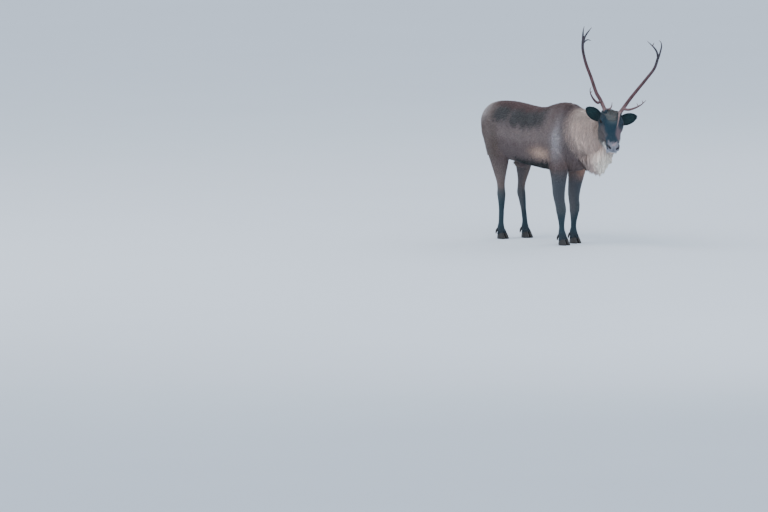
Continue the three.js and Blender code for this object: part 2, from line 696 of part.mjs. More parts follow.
// Ears: a leaf with its cup turned ahead, closed and rounded at the root
const earRows = [
  { at: -0.06, wide: 18, back: 18, cup: -14 },
  { at: 0.1, wide: 28, back: 22, cup: -8 },
  { at: 0.26, wide: 38, back: 24, cup: 12 },
  { at: 0.46, wide: 45, back: 24, cup: 17 },
  { at: 0.66, wide: 43, back: 20, cup: 14 },
  { at: 0.83, wide: 33, back: 15, cup: 8.5 },
  { at: 0.95, wide: 19, back: 9, cup: 4 },
  { at: 1, wide: 8, back: 5, cup: 0 },
];
const ears = {
  right: { root: [20, -52, -98], tip: [-47, -184, -56], cup: [0.68, -0.2, 0.73] },
  left: { root: [24, 54, -103], tip: [-21, 205, -60], cup: [0.68, 0.2, 0.73] },
};

function ear(side, grow = 0) {
  const place = ears[side];
  const root = new THREE.Vector3(...place.root).applyMatrix4(headFrame);
  const axis = new THREE.Vector3(...place.tip).applyMatrix4(headFrame).sub(root);
  const earLength = axis.length();
  axis.normalize();
  const open = new THREE.Vector3(...place.cup).transformDirection(headFrame);
  open.addScaledVector(axis, -open.dot(axis)).normalize();
  const across = new THREE.Vector3().crossVectors(axis, open);
  const arcs = 5;
  const rings = earRows.map((row) => {
    const middle = root.clone().addScaledVector(axis, row.at * earLength);
    const point = (angle, depth) =>
      middle
        .clone()
        .addScaledVector(across, (row.wide + grow) * Math.cos(angle))
        .addScaledVector(open, -depth * Math.sin(angle));
    const angles = Array.from({ length: arcs }, (_, k) => (Math.PI * k) / arcs);
    const outer = angles.map((angle) => point(angle, row.back + grow));
    const inner = angles.map((angle) => point(Math.PI - angle, row.cup - grow));
    return [...outer, ...inner];
  });
  return skin(rings);
}

// Antlers: points ahead, left and up of the brow, in a level frame that faces as the head does
const antlers = {
  right: {
    beam: [
      [6, -50, -26],
      [-6, -57, 6],
      [-60, -79, 78],
      [-100, -101, 130],
      [-150, -129, 240],
      [-165, -166, 347],
      [-145, -194, 449],
      [-112, -202, 526],
    ],
    fork: 0.4,
    tines: {
      brow: {
        path: [
          [-8, -56, 10],
          [12, -34, 14],
          [20, -14, 30],
          [22, -8, 68],
        ],
        root: 8,
      },
      bez: {
        path: [
          [-52, -78, 66],
          [-14, -112, 62],
          [30, -150, 90],
          [78, -186, 138],
          [106, -196, 176],
          [118, -186, 196],
        ],
        root: 11,
      },
      crown_front: {
        path: [
          [-116, -200, 510],
          [-88, -186, 560],
          [-60, -168, 596],
          [-30, -150, 628],
        ],
        root: 9,
      },
      crown_rear: {
        path: [
          [-118, -200, 496],
          [-124, -182, 515],
          [-138, -156, 524],
          [-152, -126, 514],
        ],
        root: 7.5,
      },
      crown_top: {
        path: [
          [-116, -201, 520],
          [-104, -203, 560],
          [-90, -203, 600],
          [-78, -198, 634],
        ],
        root: 9,
      },
    },
  },
  left: {
    beam: [
      [6, 40, -44],
      [-6, 56, -22],
      [-42, 102, 26],
      [-92, 158, 80],
      [-138, 231, 150],
      [-164, 306, 228],
      [-160, 360, 300],
      [-128, 380, 382],
    ],
    fork: 0.36,
    tines: {
      brow: {
        path: [
          [-6, 56, -22],
          [34, 46, -16],
          [84, 30, -36],
          [128, 12, -78],
          [152, -4, -118],
        ],
        root: 10,
      },
      bez: {
        path: [
          [-30, 86, 10],
          [20, 122, 8],
          [66, 162, 26],
          [104, 194, 50],
          [132, 218, 78],
          [140, 226, 92],
        ],
        root: 10,
        points: [
          [
            [84, 178, 36],
            [78, 166, 66],
          ],
          [
            [118, 206, 62],
            [118, 198, 88],
          ],
        ],
      },
      crown_front: {
        path: [
          [-132, 380, 366],
          [-108, 368, 418],
          [-84, 342, 456],
          [-56, 308, 486],
          [-30, 270, 518],
        ],
        root: 9,
        points: [
          [
            [-66, 322, 474],
            [-58, 336, 506],
          ],
        ],
      },
      crown_rear: {
        path: [
          [-130, 381, 372],
          [-124, 396, 424],
          [-120, 405, 470],
          [-112, 396, 500],
          [-100, 376, 514],
        ],
        root: 9,
      },
    },
  },
};
const beamRadius = (t) => 16 - 5.5 * t ** 0.8 + 7 * Math.exp(-(((t - 0.045) / 0.02) ** 2));
const beamSteps = 16;

function beamTube(side, grow = 0) {
  const path = inFrame(antlers[side].beam, levelFrame);
  return tube(path, beamRadius, { steps: beamSteps, flat: 0.88, grow });
}

const pointRadius = 4.5;

// A tine, with the short points that branch from it
function tineTube({ path, root, points = [] }, frame, grow = 0) {
  const radius = (t) => root * (1 - 0.8 * t ** 1.6);
  const shaft = tube(inFrame(path, frame), radius, { steps: 6, sides: 6, flat: 0.85, grow });
  const pointAt = (t) => pointRadius * (1 - 0.8 * t);
  const branches = points.map((ends) => tube(inFrame(ends, frame), pointAt, { steps: 1, sides: 4, grow }));
  return join(shaft, ...branches);
}

// Everything of flesh in one body, then parted with thin cuts
const head = headLoft(upperHead, 16, 24);
const jaw = headLoft(lowerJaw, 12, 14);
const headCarrier = join(headLoft(upperHead, 16, 24, gap), headLoft(lowerJaw, 12, 14, gap));

function fleshBody() {
  const trunkSolid = trunkAndNeck();
  const legSolids = legs.flatMap((leg) => [legColumn(leg), toe(leg, 1), toe(leg, -1)]);
  const sheathSolid = ellipsoid([sheath.x, 0, sheath.z], [sheath.long, sheath.wide, sheath.deep]);
  return join(trunkSolid, maneCore(), sheathSolid, ...legSolids);
}

function legCuts(leg) {
  const { cuts, rows } = leg.form;
  const body = legCentre(leg, rowAt(rows, "z", cuts.bodyZ)).setY(leg.side * cuts.bodyOut);
  const footY = leg.side * rows[0].out;
  const coronetPoint = new THREE.Vector3(leg.hoofX + coronet.ahead, footY, coronet.z);
  const coronetNormal = new THREE.Vector3(-coronet.slope, 0, 1);
  return [
    cut(body, new THREE.Vector3(0, -leg.side * cuts.rise, 1), 230),
    cut(legCentre(leg, rowAt(rows, "z", cuts.joint)), upward, 140),
    cut(legCentre(leg, rowAt(rows, "z", cuts.fetlock)), upward, 90),
    cut(coronetPoint, coronetNormal, 130),
  ];
}

// The piece whose box is centred nearest to a point
function nearest(pieces, point) {
  const distance = (piece) => {
    const box = piece.boundingBox();
    return Math.hypot(...point.map((value, i) => value - (box.min[i] + box.max[i]) / 2));
  };
  return pieces.reduce((best, one) => (distance(one) < distance(best) ? one : best));
}

const materials = {
  brown: new THREE.MeshStandardMaterial({ color: coatBrown, roughness: 0.95 }),
  pale: new THREE.MeshStandardMaterial({ color: coatPale, roughness: 0.95 }),
  leg: new THREE.MeshStandardMaterial({ color: legDark, roughness: 0.9 }),
  face: new THREE.MeshStandardMaterial({ color: faceDark, roughness: 0.9 }),
  horn: new THREE.MeshStandardMaterial({ color: hornBrown, roughness: 0.6 }),
  hoof: new THREE.MeshStandardMaterial({ color: hoofDark, roughness: 0.5 }),
  eye: new THREE.MeshStandardMaterial({ color: eyeDark, roughness: 0.1 }),
};

const reindeer = new THREE.Group();
reindeer.position.set(-centreAhead, -centreLeft, 0);

function place(name, solid, material) {
  const { numProp, numVert, vertProperties, triVerts } = solid.simplify(sliver).getMesh();
  const positions = new Float32Array(numVert * 3);
  for (let i = 0; i < numVert; i += 1) {
    positions.set(vertProperties.subarray(i * numProp, i * numProp + 3), i * 3);
  }
  const geometry = new THREE.BufferGeometry();
  geometry.setAttribute("position", new THREE.BufferAttribute(positions, 3));
  geometry.setIndex(new THREE.BufferAttribute(triVerts, 1));
  geometry.computeVertexNormals();
  const mesh = new THREE.Mesh(geometry, material);
  mesh.name = name;
  reindeer.add(mesh);
}

const flesh = fleshBody();
const pieces = flesh
  .intersect(behindNeckBase(0))
  .subtract(join(...legs.flatMap(legCuts)))
  .decompose()
  .filter((piece) => piece.volume() > 1000);

place("torso", nearest(pieces, [-340, 0, 800]), materials.brown);
const coatedNeck = join(flesh, ...ruffLocks(), ...maneLocks());
const earSockets = ["right", "left"].map((side) => ear(side, gap));
const bodyBlock = behindNeckBase(gap / neckNormal.x);
place("neck", seated(coatedNeck, bodyBlock, headCarrier, ...earSockets), materials.pale);

const eyeBall = (side, grow) => ellipsoid(eyeMiddle(side), Array(3).fill(eye.radius + grow), headFrame);
const openings = [1, -1].flatMap((side) => [nostril(side), mouthLine(side), eyeBall(side, gap)]);
const antlerSockets = ["right", "left"].flatMap((side) => {
  const tines = Object.values(antlers[side].tines).map((tine) => tineTube(tine, levelFrame, gap));
  return [beamTube(side, gap), ...tines];
});
const tuft = join(...foreheadTuft()).subtract(join(...antlerSockets));
const faceForms = join(head, jaw, lid(1), lid(-1), tuft);
place("head", largest(faceForms.subtract(join(...openings))), materials.face);
place("eye_right", eyeBall(-1, 0), materials.eye);
place("eye_left", eyeBall(1, 0), materials.eye);

const tailCore = tube(tailPath, (t) => 20 - 8 * t, { steps: 4, sides: 8, flat: 0.7 });
const tail = join(tailCore, ...tailLocks());
const trunkCarrier = trunkAndNeck(gap);
place("tail", seated(tail, trunkCarrier), materials.brown);

for (const leg of legs) {
  const { form, name } = leg;
  const { bodyZ, joint, fetlock } = form.cuts;
  const between = (low, high) => legCentre(leg, rowAt(form.rows, "z", (low + high) / 2)).toArray();
  const footY = leg.side * form.rows[0].out;
  place(`${name}_${form.upperName}`, nearest(pieces, between(joint, bodyZ)), materials.leg);
  place(`${name}_cannon`, nearest(pieces, between(fetlock, joint)), materials.leg);
  place(`${name}_pastern`, nearest(pieces, [leg.hoofX + 12, footY, 68]), materials.leg);
  const carrier = join(legColumn(leg, gap), toe(leg, 1, gap), toe(leg, -1, gap));
  for (const [word, away] of [["inner", -leg.side], ["outer", leg.side]]) {
    const hoofMiddle = [leg.hoofX + 25, footY + away * (toeSpread + 5), 15];
    place(`${name}_hoof_${word}`, nearest(pieces, hoofMiddle), materials.hoof);
    place(`${name}_dewclaw_${word}`, seated(dewclaw(leg, away), carrier), materials.hoof);
  }
}

for (const side of ["right", "left"]) {
  const beam = beamTube(side);
  const beamCarrier = beamTube(side, gap);
  place(`ear_${side}`, seated(ear(side), headCarrier, trunkCarrier), materials.face);
  const path = inFrame(antlers[side].beam, levelFrame).map((p) => new THREE.Vector3(...p));
  const curve = new THREE.CatmullRomCurve3(path);
  const fork = cut(curve.getPointAt(antlers[side].fork), curve.getTangentAt(antlers[side].fork), 90);
  const [lower, upper] = beam
    .subtract(fork)
    .decompose()
    .sort((a, b) => a.boundingBox().min[2] - b.boundingBox().min[2]);
  place(`antler_${side}_base`, seated(lower, headCarrier), materials.horn);
  place(`antler_${side}_beam`, upper, materials.horn);
  const carriers = [beamCarrier, headCarrier];
  for (const [tineName, tine] of Object.entries(antlers[side].tines)) {
    place(`antler_${side}_${tineName}`, seated(tineTube(tine, levelFrame), ...carriers), materials.horn);
    carriers.push(tineTube(tine, levelFrame, gap));
  }
}

export default reindeer;
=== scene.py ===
import bpy
import numpy as np
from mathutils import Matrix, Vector


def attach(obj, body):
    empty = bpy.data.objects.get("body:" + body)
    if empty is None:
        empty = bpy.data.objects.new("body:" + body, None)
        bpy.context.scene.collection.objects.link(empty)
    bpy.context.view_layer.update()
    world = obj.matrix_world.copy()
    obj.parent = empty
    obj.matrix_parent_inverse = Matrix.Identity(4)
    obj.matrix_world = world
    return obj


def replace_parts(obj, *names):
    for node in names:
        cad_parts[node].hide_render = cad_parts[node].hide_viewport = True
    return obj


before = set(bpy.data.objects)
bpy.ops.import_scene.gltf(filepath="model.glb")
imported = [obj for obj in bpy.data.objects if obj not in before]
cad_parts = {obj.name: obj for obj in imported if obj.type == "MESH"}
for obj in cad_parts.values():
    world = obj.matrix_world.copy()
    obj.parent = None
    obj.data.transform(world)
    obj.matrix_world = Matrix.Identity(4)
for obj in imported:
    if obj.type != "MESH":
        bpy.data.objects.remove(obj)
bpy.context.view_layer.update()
print("frame loaded:", len(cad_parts), "nodes")

# Shapes are worked out in millimetres from the floor below the withers, +X ahead, +Y to the animal's left
mm = 0.001
withers = np.array([51.0, -63.0, 0.0])  # from the middle of the model to the floor below the withers
up = np.array([0.0, 0.0, 1.0])


# From millimetres below the withers to metres from the middle of the model
def inMetres(points):
    return (points + withers) * mm


# Each vector over its own length
def unit(vectors):
    return vectors / np.maximum(np.linalg.norm(vectors, axis=-1, keepdims=True), 1e-9)


# 0 below low, 1 above high, and a smooth s between them
def ramp(value, low, high):
    t = np.clip((value - low) / (high - low), 0, 1)
    return t * t * (3 - 2 * t)


# A bell round a middle, with its own reach along each axis
def bell(points, middle, reach):
    return np.exp(-(((points - np.array(middle)) / np.array(reach)) ** 2).sum(-1))


# Slow waves through space, between about -1 and 1: the mean of four sines in crossing directions
def ripple(points, size, shift=0.0):
    x, y, z = (points / size).T
    waves = [
        np.sin(1.7 * x + 0.9 * z + shift),
        np.sin(2.3 * z - 1.1 * y + 2.1 * shift + 1.3),
        np.sin(1.3 * y + 2.9 * x + 0.7 * shift + 4.1),
        np.sin(3.1 * z + 1.9 * x - 1.2 * y + shift + 2.6),
    ]
    return sum(waves).T / 2.4


# Every column of a table at any places, by a cubic whose slope at a row is that of the chord past it
def readTable(table, places):
    rows = np.array(table["rows"], float)
    key = rows[:, 0]
    places = np.clip(places, key[0], key[-1])
    slopes = np.empty_like(rows)
    slopes[1:-1] = (rows[2:] - rows[:-2]) / (key[2:] - key[:-2])[:, None]
    slopes[0] = (rows[1] - rows[0]) / (key[1] - key[0])
    slopes[-1] = (rows[-1] - rows[-2]) / (key[-1] - key[-2])
    i = np.clip(np.searchsorted(key, places, side="right") - 1, 0, len(key) - 2)
    span = (key[i + 1] - key[i])[..., None]
    t = (places - key[i])[..., None] / span
    rise = rows[i + 1] - rows[i]
    slopeA, slopeB = slopes[i] * span, slopes[i + 1] * span
    read = rows[i] + t * (slopeA + t * (3 * rise - 2 * slopeA - slopeB + t * (slopeA + slopeB - 2 * rise)))
    return {name: read[..., k] for k, name in enumerate(table["columns"].split())}


# Sideways and upright offsets of a superellipse: cosine and sine raised to 2 over how square that half is
def ovalOffsets(row, angle):
    c, s = np.cos(angle), np.sin(angle)
    power = 2 / np.where(s > 0, row["squareTop"], row["squareBottom"])
    side = np.sign(c) * np.abs(c) ** power * row["half"]
    tall = np.where(s > 0, row["top"] - row["middle"], row["middle"] - row["bottom"])
    return side, np.sign(s) * np.abs(s) ** power * tall


# Angles of equal steps once round
def turns(count):
    return np.arange(count) * 2 * np.pi / count


# A shell is its points and its faces. This one joins rings of equally many points, with a fan over each end
def ringShell(grid):
    rings, sides, _ = grid.shape
    points = np.concatenate([grid.reshape(-1, 3), grid[:1].mean(1), grid[-1:].mean(1)])
    ring, side = np.meshgrid(np.arange(rings - 1) * sides, np.arange(sides), indexing="ij")
    after = (side + 1) % sides
    ringAfter = ring + sides
    quads = np.stack([ring + side, ring + after, ringAfter + after, ringAfter + side], -1).reshape(-1, 4)
    j = np.arange(sides)
    k = (j + 1) % sides
    last = (rings - 1) * sides
    caps = [np.stack([np.full(sides, rings * sides), k, j], -1)]
    caps.append(np.stack([np.full(sides, rings * sides + 1), last + j, last + k], -1))
    return points, [quads, np.concatenate(caps)]


# A shell that closes on itself both ways, such as a lid round an eye
def loopShell(grid):
    rings, sides, _ = grid.shape
    ring, side = np.meshgrid(np.arange(rings), np.arange(sides), indexing="ij")
    ringAfter, sideAfter = (ring + 1) % rings, (side + 1) % sides
    first, second = ring * sides, ringAfter * sides
    corners = [first + side, first + sideAfter, second + sideAfter, second + side]
    return grid.reshape(-1, 3), [np.stack(corners, -1).reshape(-1, 4)]


# Shells become one list of points and faces, with every shell's faces turned outward
def joinShells(shells):
    points, faces, start = [], [], 0
    for shellPoints, shellFaces in shells:
        points.append(shellPoints)
        faces += [face + start for face in outward(shellPoints, shellFaces)]
        start += len(shellPoints)
    return np.concatenate(points), faces


# Turns a shell's faces over if the volume that they enclose comes out below zero
def outward(points, faces):
    volume = 0
    for face in faces:
        a = points[face[:, 0]]
        for k in range(1, face.shape[1] - 1):
            volume += np.einsum("ij,ij->i", a, np.cross(points[face[:, k]], points[face[:, k + 1]])).sum()
    return faces if volume > 0 else [face[:, ::-1] for face in faces]


# A smooth-shaded mesh object from points in millimetres and lists of triangles and quads
def newPiece(name, points, faces, material=None):
    mesh = bpy.data.meshes.new(name)
    corners = np.concatenate([face.ravel() for face in faces])
    counts = np.concatenate([np.full(len(face), face.shape[1]) for face in faces])
    mesh.vertices.add(len(points))
    mesh.vertices.foreach_set("co", inMetres(points).astype(np.float32).ravel())
    mesh.loops.add(len(corners))
    mesh.loops.foreach_set("vertex_index", corners.astype(np.int32))
    mesh.polygons.add(len(counts))
    mesh.polygons.foreach_set("loop_start", (np.cumsum(counts) - counts).astype(np.int32))
    mesh.polygons.foreach_set("use_smooth", np.ones(len(counts), bool))
    mesh.update(calc_edges=True)
    piece = bpy.data.objects.new(name, mesh)
    bpy.context.scene.collection.objects.link(piece)
    if material:
        mesh.materials.append(material)
    return piece


# Every point of a piece keeps its colour as an attribute, which the materials read
def setTint(piece, tints):
    layer = piece.data.attributes.new("tint", "FLOAT_COLOR", "POINT")
    colours = np.concatenate([tints, np.ones((len(tints), 1))], -1)
    layer.data.foreach_set("color", colours.astype(np.float32).ravel())


# The points of a piece in millimetres, their normals and its triangles
def readMesh(piece):
    mesh = piece.data
    points = np.empty(len(mesh.vertices) * 3, np.float32)
    mesh.vertices.foreach_get("co", points)
    normals = np.empty(len(mesh.vertices) * 3, np.float32)
    mesh.vertex_normals.foreach_get("vector", normals)
    mesh.calc_loop_triangles()
    triangles = np.empty(len(mesh.loop_triangles) * 3, np.int32)
    mesh.loop_triangles.foreach_get("vertices", triangles)
    points, normals = points.reshape(-1, 3).astype(float), normals.reshape(-1, 3).astype(float)
    return points / mm - withers, normals, triangles.reshape(-1, 3)


def movePoints(piece, points):
    piece.data.vertices.foreach_set("co", inMetres(points).astype(np.float32).ravel())
    piece.data.update()
    return piece


# Works the modifiers of a piece into its mesh, which is then shaded smooth
def bake(piece):
    seen = piece.evaluated_get(bpy.context.evaluated_depsgraph_get())
    mesh = bpy.data.meshes.new_from_object(seen)
    piece.modifiers.clear()
    old, piece.data = piece.data, mesh
    mesh.name = piece.name
    mesh.polygons.foreach_set("use_smooth", np.ones(len(mesh.polygons), bool))
    bpy.data.meshes.remove(old)
    return piece


def dropPiece(piece):
    mesh = piece.data
    bpy.data.objects.remove(piece)
    bpy.data.meshes.remove(mesh)


# Overlapping shells melt into one skin: voxels, then smoothing, then fewer faces where it is flat
def melted(name, shells, voxel, smoothing, keep=1.0):
    piece = newPiece(name, *joinShells(shells))
    remesh = piece.modifiers.new("melt", "REMESH")
    remesh.mode = "VOXEL"
    remesh.voxel_size = voxel * mm
    smooth = piece.modifiers.new("smooth", "SMOOTH")
    smooth.factor = 0.5
    smooth.iterations = smoothing
    if keep < 1:
        fewer = piece.modifiers.new("fewer", "DECIMATE")
        fewer.ratio = keep
    return bake(piece)


# Colours: each is written as it looks, from 0 to 255, and turned into light
def light(*colour):
    share = np.array(colour, float) / 255
    return np.where(share > 0.04045, ((share + 0.055) / 1.055) ** 2.4, share / 12.92)


# Each colour moved its share of the way to another
def towards(colours, share, colour):
    return colours + share[..., None] * (np.asarray(colour) - colours)


# Trunk and neck, out to the tips of the coat
trunk = {
    "columns": "x top bottom half middle squareTop squareBottom",
    "rows": [
        (-872, 925, 830, 34, 882, 2.0, 2.0),
        (-859, 970, 770, 86, 878, 2.0, 2.0),
        (-829, 1005, 700, 132, 868, 2.0, 2.0),
        (-780, 1026, 645, 160, 850, 2.0, 2.1),
        (-690, 1037, 606, 180, 830, 2.1, 2.2),
        (-560, 1036, 586, 187, 805, 2.1, 2.2),
        (-400, 1020, 568, 202, 780, 2.1, 2.2),
        (-284, 1015, 558, 206, 768, 2.0, 2.2),
        (-190, 1026, 550, 200, 765, 1.9, 2.2),
        (-110, 1050, 546, 188, 768, 1.8, 2.2),
        (-15, 1068, 545, 176, 772, 1.7, 2.1),
        (65, 1064, 547, 166, 775, 1.8, 2.0),
        (132, 1052, 556, 152, 782, 1.9, 1.9),
        (190, 1037, 572, 137, 800, 2.0, 1.8),
        (240, 1024, 592, 125, 820, 2.0, 1.7),
        (300, 1012, 615, 115, 840, 2.0, 1.7),
        (360, 1008, 642, 107, 855, 2.0, 1.7),
        (420, 1010, 682, 100, 872, 2.0, 1.7),
        (470, 1016, 738, 92, 890, 2.0, 1.8),
        (510, 1014, 805, 78, 915, 2.0, 2.0),
        (530, 1000, 850, 58, 930, 2.0, 2.0),
    ],
}
# Where it is, how far along and up it reaches, and how far it stands out of the flank
swellings = {
    "haunch": (-665, 785, 105, 150, 8),
    "shoulder": (15, 830, 90, 150, 8),
    "flank": (-500, 770, 60, 90, -9),
    "behindElbow": (-125, 680, 50, 90, -6),
    "beforeShoulder": (165, 830, 40, 110, -5),
}
neckBase = {"x": 252, "z": 705, "tilt": np.radians(28)}
neckHair = {"depth": 24, "rampLength": 110}
shortCoat = {"depth": 7}  # the skin lies this far inside the tips of the short coat


# The neck bends to the animal's right, by the square of the way ahead of its base
def neckBow(x):
    return -3.2e-4 * np.maximum(x - 300, 0) ** 2


# Distance ahead of the sloping line where the neck joins the body, which is upright below the breast
def beforeNeckBase(x, z):
    slope = (x - neckBase["x"]) * np.cos(neckBase["tilt"]) + (z - neckBase["z"]) * np.sin(neckBase["tilt"])
    return np.where(z < neckBase["z"], x - neckBase["x"], slope)


# How deep the long hair of the neck is, growing from its base ahead
def hairDepth(x, z):
    return neckHair["depth"] * ramp(beforeNeckBase(x, z), 0, neckHair["rampLength"])


# A point of the outline of trunk and neck: a superellipse at x, swollen sideways by bells, then taken in
# towards its middle by a depth, which is a number or worked out from the point
def coatPoint(x, angle, depth):
    x, angle = np.broadcast_arrays(x, angle)
    row = readTable(trunk, x)
    side, rise = ovalOffsets(row, angle)
    z = row["middle"] + rise
    out = sum(
        by * np.exp(-(((x - atX) / along) ** 2) - ((z - atZ) / tall) ** 2)
        for atX, atZ, along, tall, by in swellings.values()
    )
    side = side * (1 + out / row["half"])
    reach = np.maximum(np.hypot(side, rise), 1e-6)
    taken = depth(x, z) if callable(depth) else depth
    share = 1 - taken / reach
    return np.stack([x, neckBow(x) + side * share, row["middle"] + rise * share], -1)


# How far the skin lies inside the tips of all the hair
def skinDepth(x, z):
    return hairDepth(x, z) + shortCoat["depth"]


# Rings of the outline at the depth of the skin, closer together towards both ends
def trunkShell():
    first, last = trunk["rows"][0][0], trunk["rows"][-1][0]
    t = (1 - np.cos(np.pi * np.linspace(0.03, 1, 130))) / 2
    x = first + (last - first) * t
    return ringShell(coatPoint(x[:, None], turns(80)[None, :], skinDepth))


# Throat mane: where the hanging hair ends, and its dense roots
maneMass = {
    "columns": "x top middle bottom half",
    "rows": [
        (195, 800, 740, 592, 116),
        (225, 800, 735, 570, 108),
        (300, 810, 745, 546, 94),
        (384, 830, 760, 531, 82),
        (440, 850, 775, 552, 71),
        (500, 870, 800, 618, 56),
        (540, 870, 810, 676, 40),
        (556, 850, 800, 730, 22),
    ],
}
maneRoots = {"narrow": 0.66, "lift": 96}


# Ovals narrower and shorter than the hanging hair, which hide its roots
def maneShell():
    x = np.linspace(207, 518, 30)
    row = readTable(maneMass, x)
    down = np.maximum(row["middle"] - row["bottom"] - maneRoots["lift"], 20)
    size = {
        "half": (row["half"] * maneRoots["narrow"])[:, None],
        "top": row["top"][:, None],
        "middle": row["middle"][:, None],
        "bottom": (row["middle"] - down)[:, None],
        "squareTop": 2.0,
        "squareBottom": 1.6,
    }
    side, rise = ovalOffsets(size, turns(32)[None, :])
    y = neckBow(x)[:, None] + side
    return ringShell(np.stack([np.broadcast_to(x[:, None], y.shape), y, size["middle"] + rise], -1))


# Legs: at each height how far the bone line lies ahead of the hoof and out from the midline, and half sizes
foreLeg = {
    "anchor": (25, 760, 1.5),
    "columns": "z ahead out long wide",
    "rows": [
        (50, 13, 86, 25, 27),
        (66, 8, 86, 27, 27),
        (88, -1, 86, 28, 26),
        (118, -2, 87, 22, 20),
        (165, -2, 88, 25, 22),
        (215, -1, 90, 34, 30),
        (250, 0, 91, 39, 34),
        (290, -3, 92, 41, 36),
        (330, -13, 93, 42, 37),
        (380, -17, 95, 47, 42),
        (440, -12, 97, 54, 46),
        (500, -5, 99, 63, 52),
        (560, -1, 100, 76, 58),
        (620, 0, 100, 88, 65),
        (690, -5, 98, 99, 73),
        (760, -10, 90, 106, 78),
    ],
}
hindLeg = {
    "anchor": (-700, 800, 2.1),
    "columns": "z ahead out long wide",
    "rows": [
        (50, 13, 98, 23, 25),
        (66, 7, 98, 25, 25),
        (86, -1, 98, 26, 24),
        (115, 0, 97, 21, 19),
        (160, 0, 94, 21, 19),
        (230, -2, 88, 23, 19),
        (285, -3, 84, 29, 22),
        (335, -6, 81, 37, 25),
        (375, -4, 82, 32, 24),
        (425, 4, 89, 34, 27),
        (510, 18, 102, 56, 42),
        (578, 28, 108, 76, 55),
        (650, 24, 108, 99, 70),
        (736, 18, 102, 117, 80),
        (800, 0, 92, 128, 84),
    ],
}
legs = {
    "fore_right": {"side": -1, "hoofX": 60, "form": foreLeg, "upper": "forearm"},
    "fore_left": {"side": 1, "hoofX": -12, "form": foreLeg, "upper": "forearm"},
    "hind_right": {"side": -1, "hoofX": -633, "form": hindLeg, "upper": "shank"},
    "hind_left": {"side": 1, "hoofX": -583, "form": hindLeg, "upper": "shank"},
}
legCoat = -1.5  # the melt and its smoothing take the thin legs in by about 5, so they start a little full


# The middle of a leg at a height: from the hoof to its anchor along a power of the height, plus its own bends
def legMiddle(leg, z):
    row = readTable(leg["form"], z)
    anchorX, anchorZ, swing = leg["form"]["anchor"]
    x = leg["hoofX"] + (anchorX - leg["hoofX"]) * (np.maximum(z, 0) / anchorZ) ** swing + row["ahead"]
    return np.stack([x, leg["side"] * row["out"], np.broadcast_to(z, x.shape)], -1), row


# Oval sections round the middle of the leg, hollowed on the cannon between the bone and the tendon
def legShell(leg):
    z = np.linspace(leg["form"]["rows"][0][0], leg["form"]["rows"][-1][0], 90)
    middle, row = legMiddle(leg, z)
    angle = turns(36)[None, :]
    cannon = (ramp(z, 105, 150) * (1 - ramp(z, 215, 255)))[:, None]
    tendon = 1 - 0.13 * cannon * np.exp(-((np.abs(np.sin(angle)) - 0.8) / 0.25) ** 2)
    long = (row["long"] - legCoat)[:, None] * np.cos(angle) * tendon
    wide = (row["wide"] - legCoat)[:, None] * np.sin(angle) * tendon
    offsets = np.stack([long, wide, np.zeros_like(long)], -1)
    return ringShell(middle[:, None, :] + offsets)


toe = {
    "columns": "z ahead long cleft outer",
    "rows": [
        (0, 22, 40, 14.5, 22),
        (8, 22, 41, 15, 23),
        (28, 16, 35, 15, 21),
        (50, 10, 28, 15, 18),
        (82, 0, 19, 13, 12),
    ],
    "spread": 17,
    "coronet": (20, 33, 0.32),
}


# A toe: superellipse sections, longer ahead and fuller on the side away from the cleft
def toeGrid(leg, away, heights, grow, sides=40):
    row = readTable(toe, heights)
    angle = turns(sides)[None, :]
    c, s = np.cos(angle), np.sin(angle)
    long = np.where(c > 0, row["long"][:, None], row["long"][:, None] * 0.92) + grow
    wide = np.where(s > 0, row["outer"][:, None], row["cleft"][:, None]) + grow
    power = np.where(s > 0, 2 / 2.1, 2 / 2.6)
    x = leg["hoofX"] + row["ahead"][:, None] + np.sign(c) * np.abs(c) ** power * long
    y = leg["side"] * leg["form"]["rows"][0][2]
    y = y + away * (toe["spread"] + np.sign(s) * np.abs(s) ** power * wide)
    return np.stack([x, y, np.broadcast_to(heights[:, None], x.shape)], -1)


# The flesh of a toe lies inside its horn
def toeShell(leg, away):
    return ringShell(toeGrid(leg, away, np.linspace(10, 82, 24), -2.6))


# A ball of rings about the X axis
def ballShell(middle, radii, rings=24, sides=32):
    lean = np.linspace(0.02, np.pi - 0.02, rings)[:, None]
    angle = turns(sides)[None, :]
    around = np.sin(lean)
    unitBall = np.stack([np.cos(lean) + 0 * angle, around * np.cos(angle), around * np.sin(angle)], -1)
    return ringShell(np.array(middle) + unitBall * np.array(radii))


sheath = {"middle": (-520, 0, 574), "radii": (58, 19, 28)}

# The head's own frame: along the face, to its left, and out of the forehead, from the brow
headPose = {"brow": np.array([575.0, -35.0, 1041.0]), "yaw": -27.5, "pitch": 47, "roll": 7, "length": 325}


# A vector turned round an axis
def turned(vector, axis, degrees):
    c, s = np.cos(np.radians(degrees)), np.sin(np.radians(degrees))
    return vector * c + np.cross(axis, vector) * s + axis * (axis @ vector) * (1 - c)


yaw, pitch = np.radians(headPose["yaw"]), np.radians(headPose["pitch"])
facing = np.array([np.cos(yaw), np.sin(yaw), 0.0])
sideways = np.cross(up, facing)
temple = turned(sideways, facing, -headPose["roll"])
alongFace = facing * np.cos(pitch) - turned(up, facing, -headPose["roll"]) * np.sin(pitch)
outOfBrow = np.cross(alongFace, temple)
headAxes = np.stack([alongFace, temple, outOfBrow])
levelAxes = np.stack([facing, sideways, up])


def fromHead(points, axes=headAxes):
    return headPose["brow"] + np.asarray(points, float) @ axes


def toHead(points):
    return (points - headPose["brow"]) @ headAxes.T


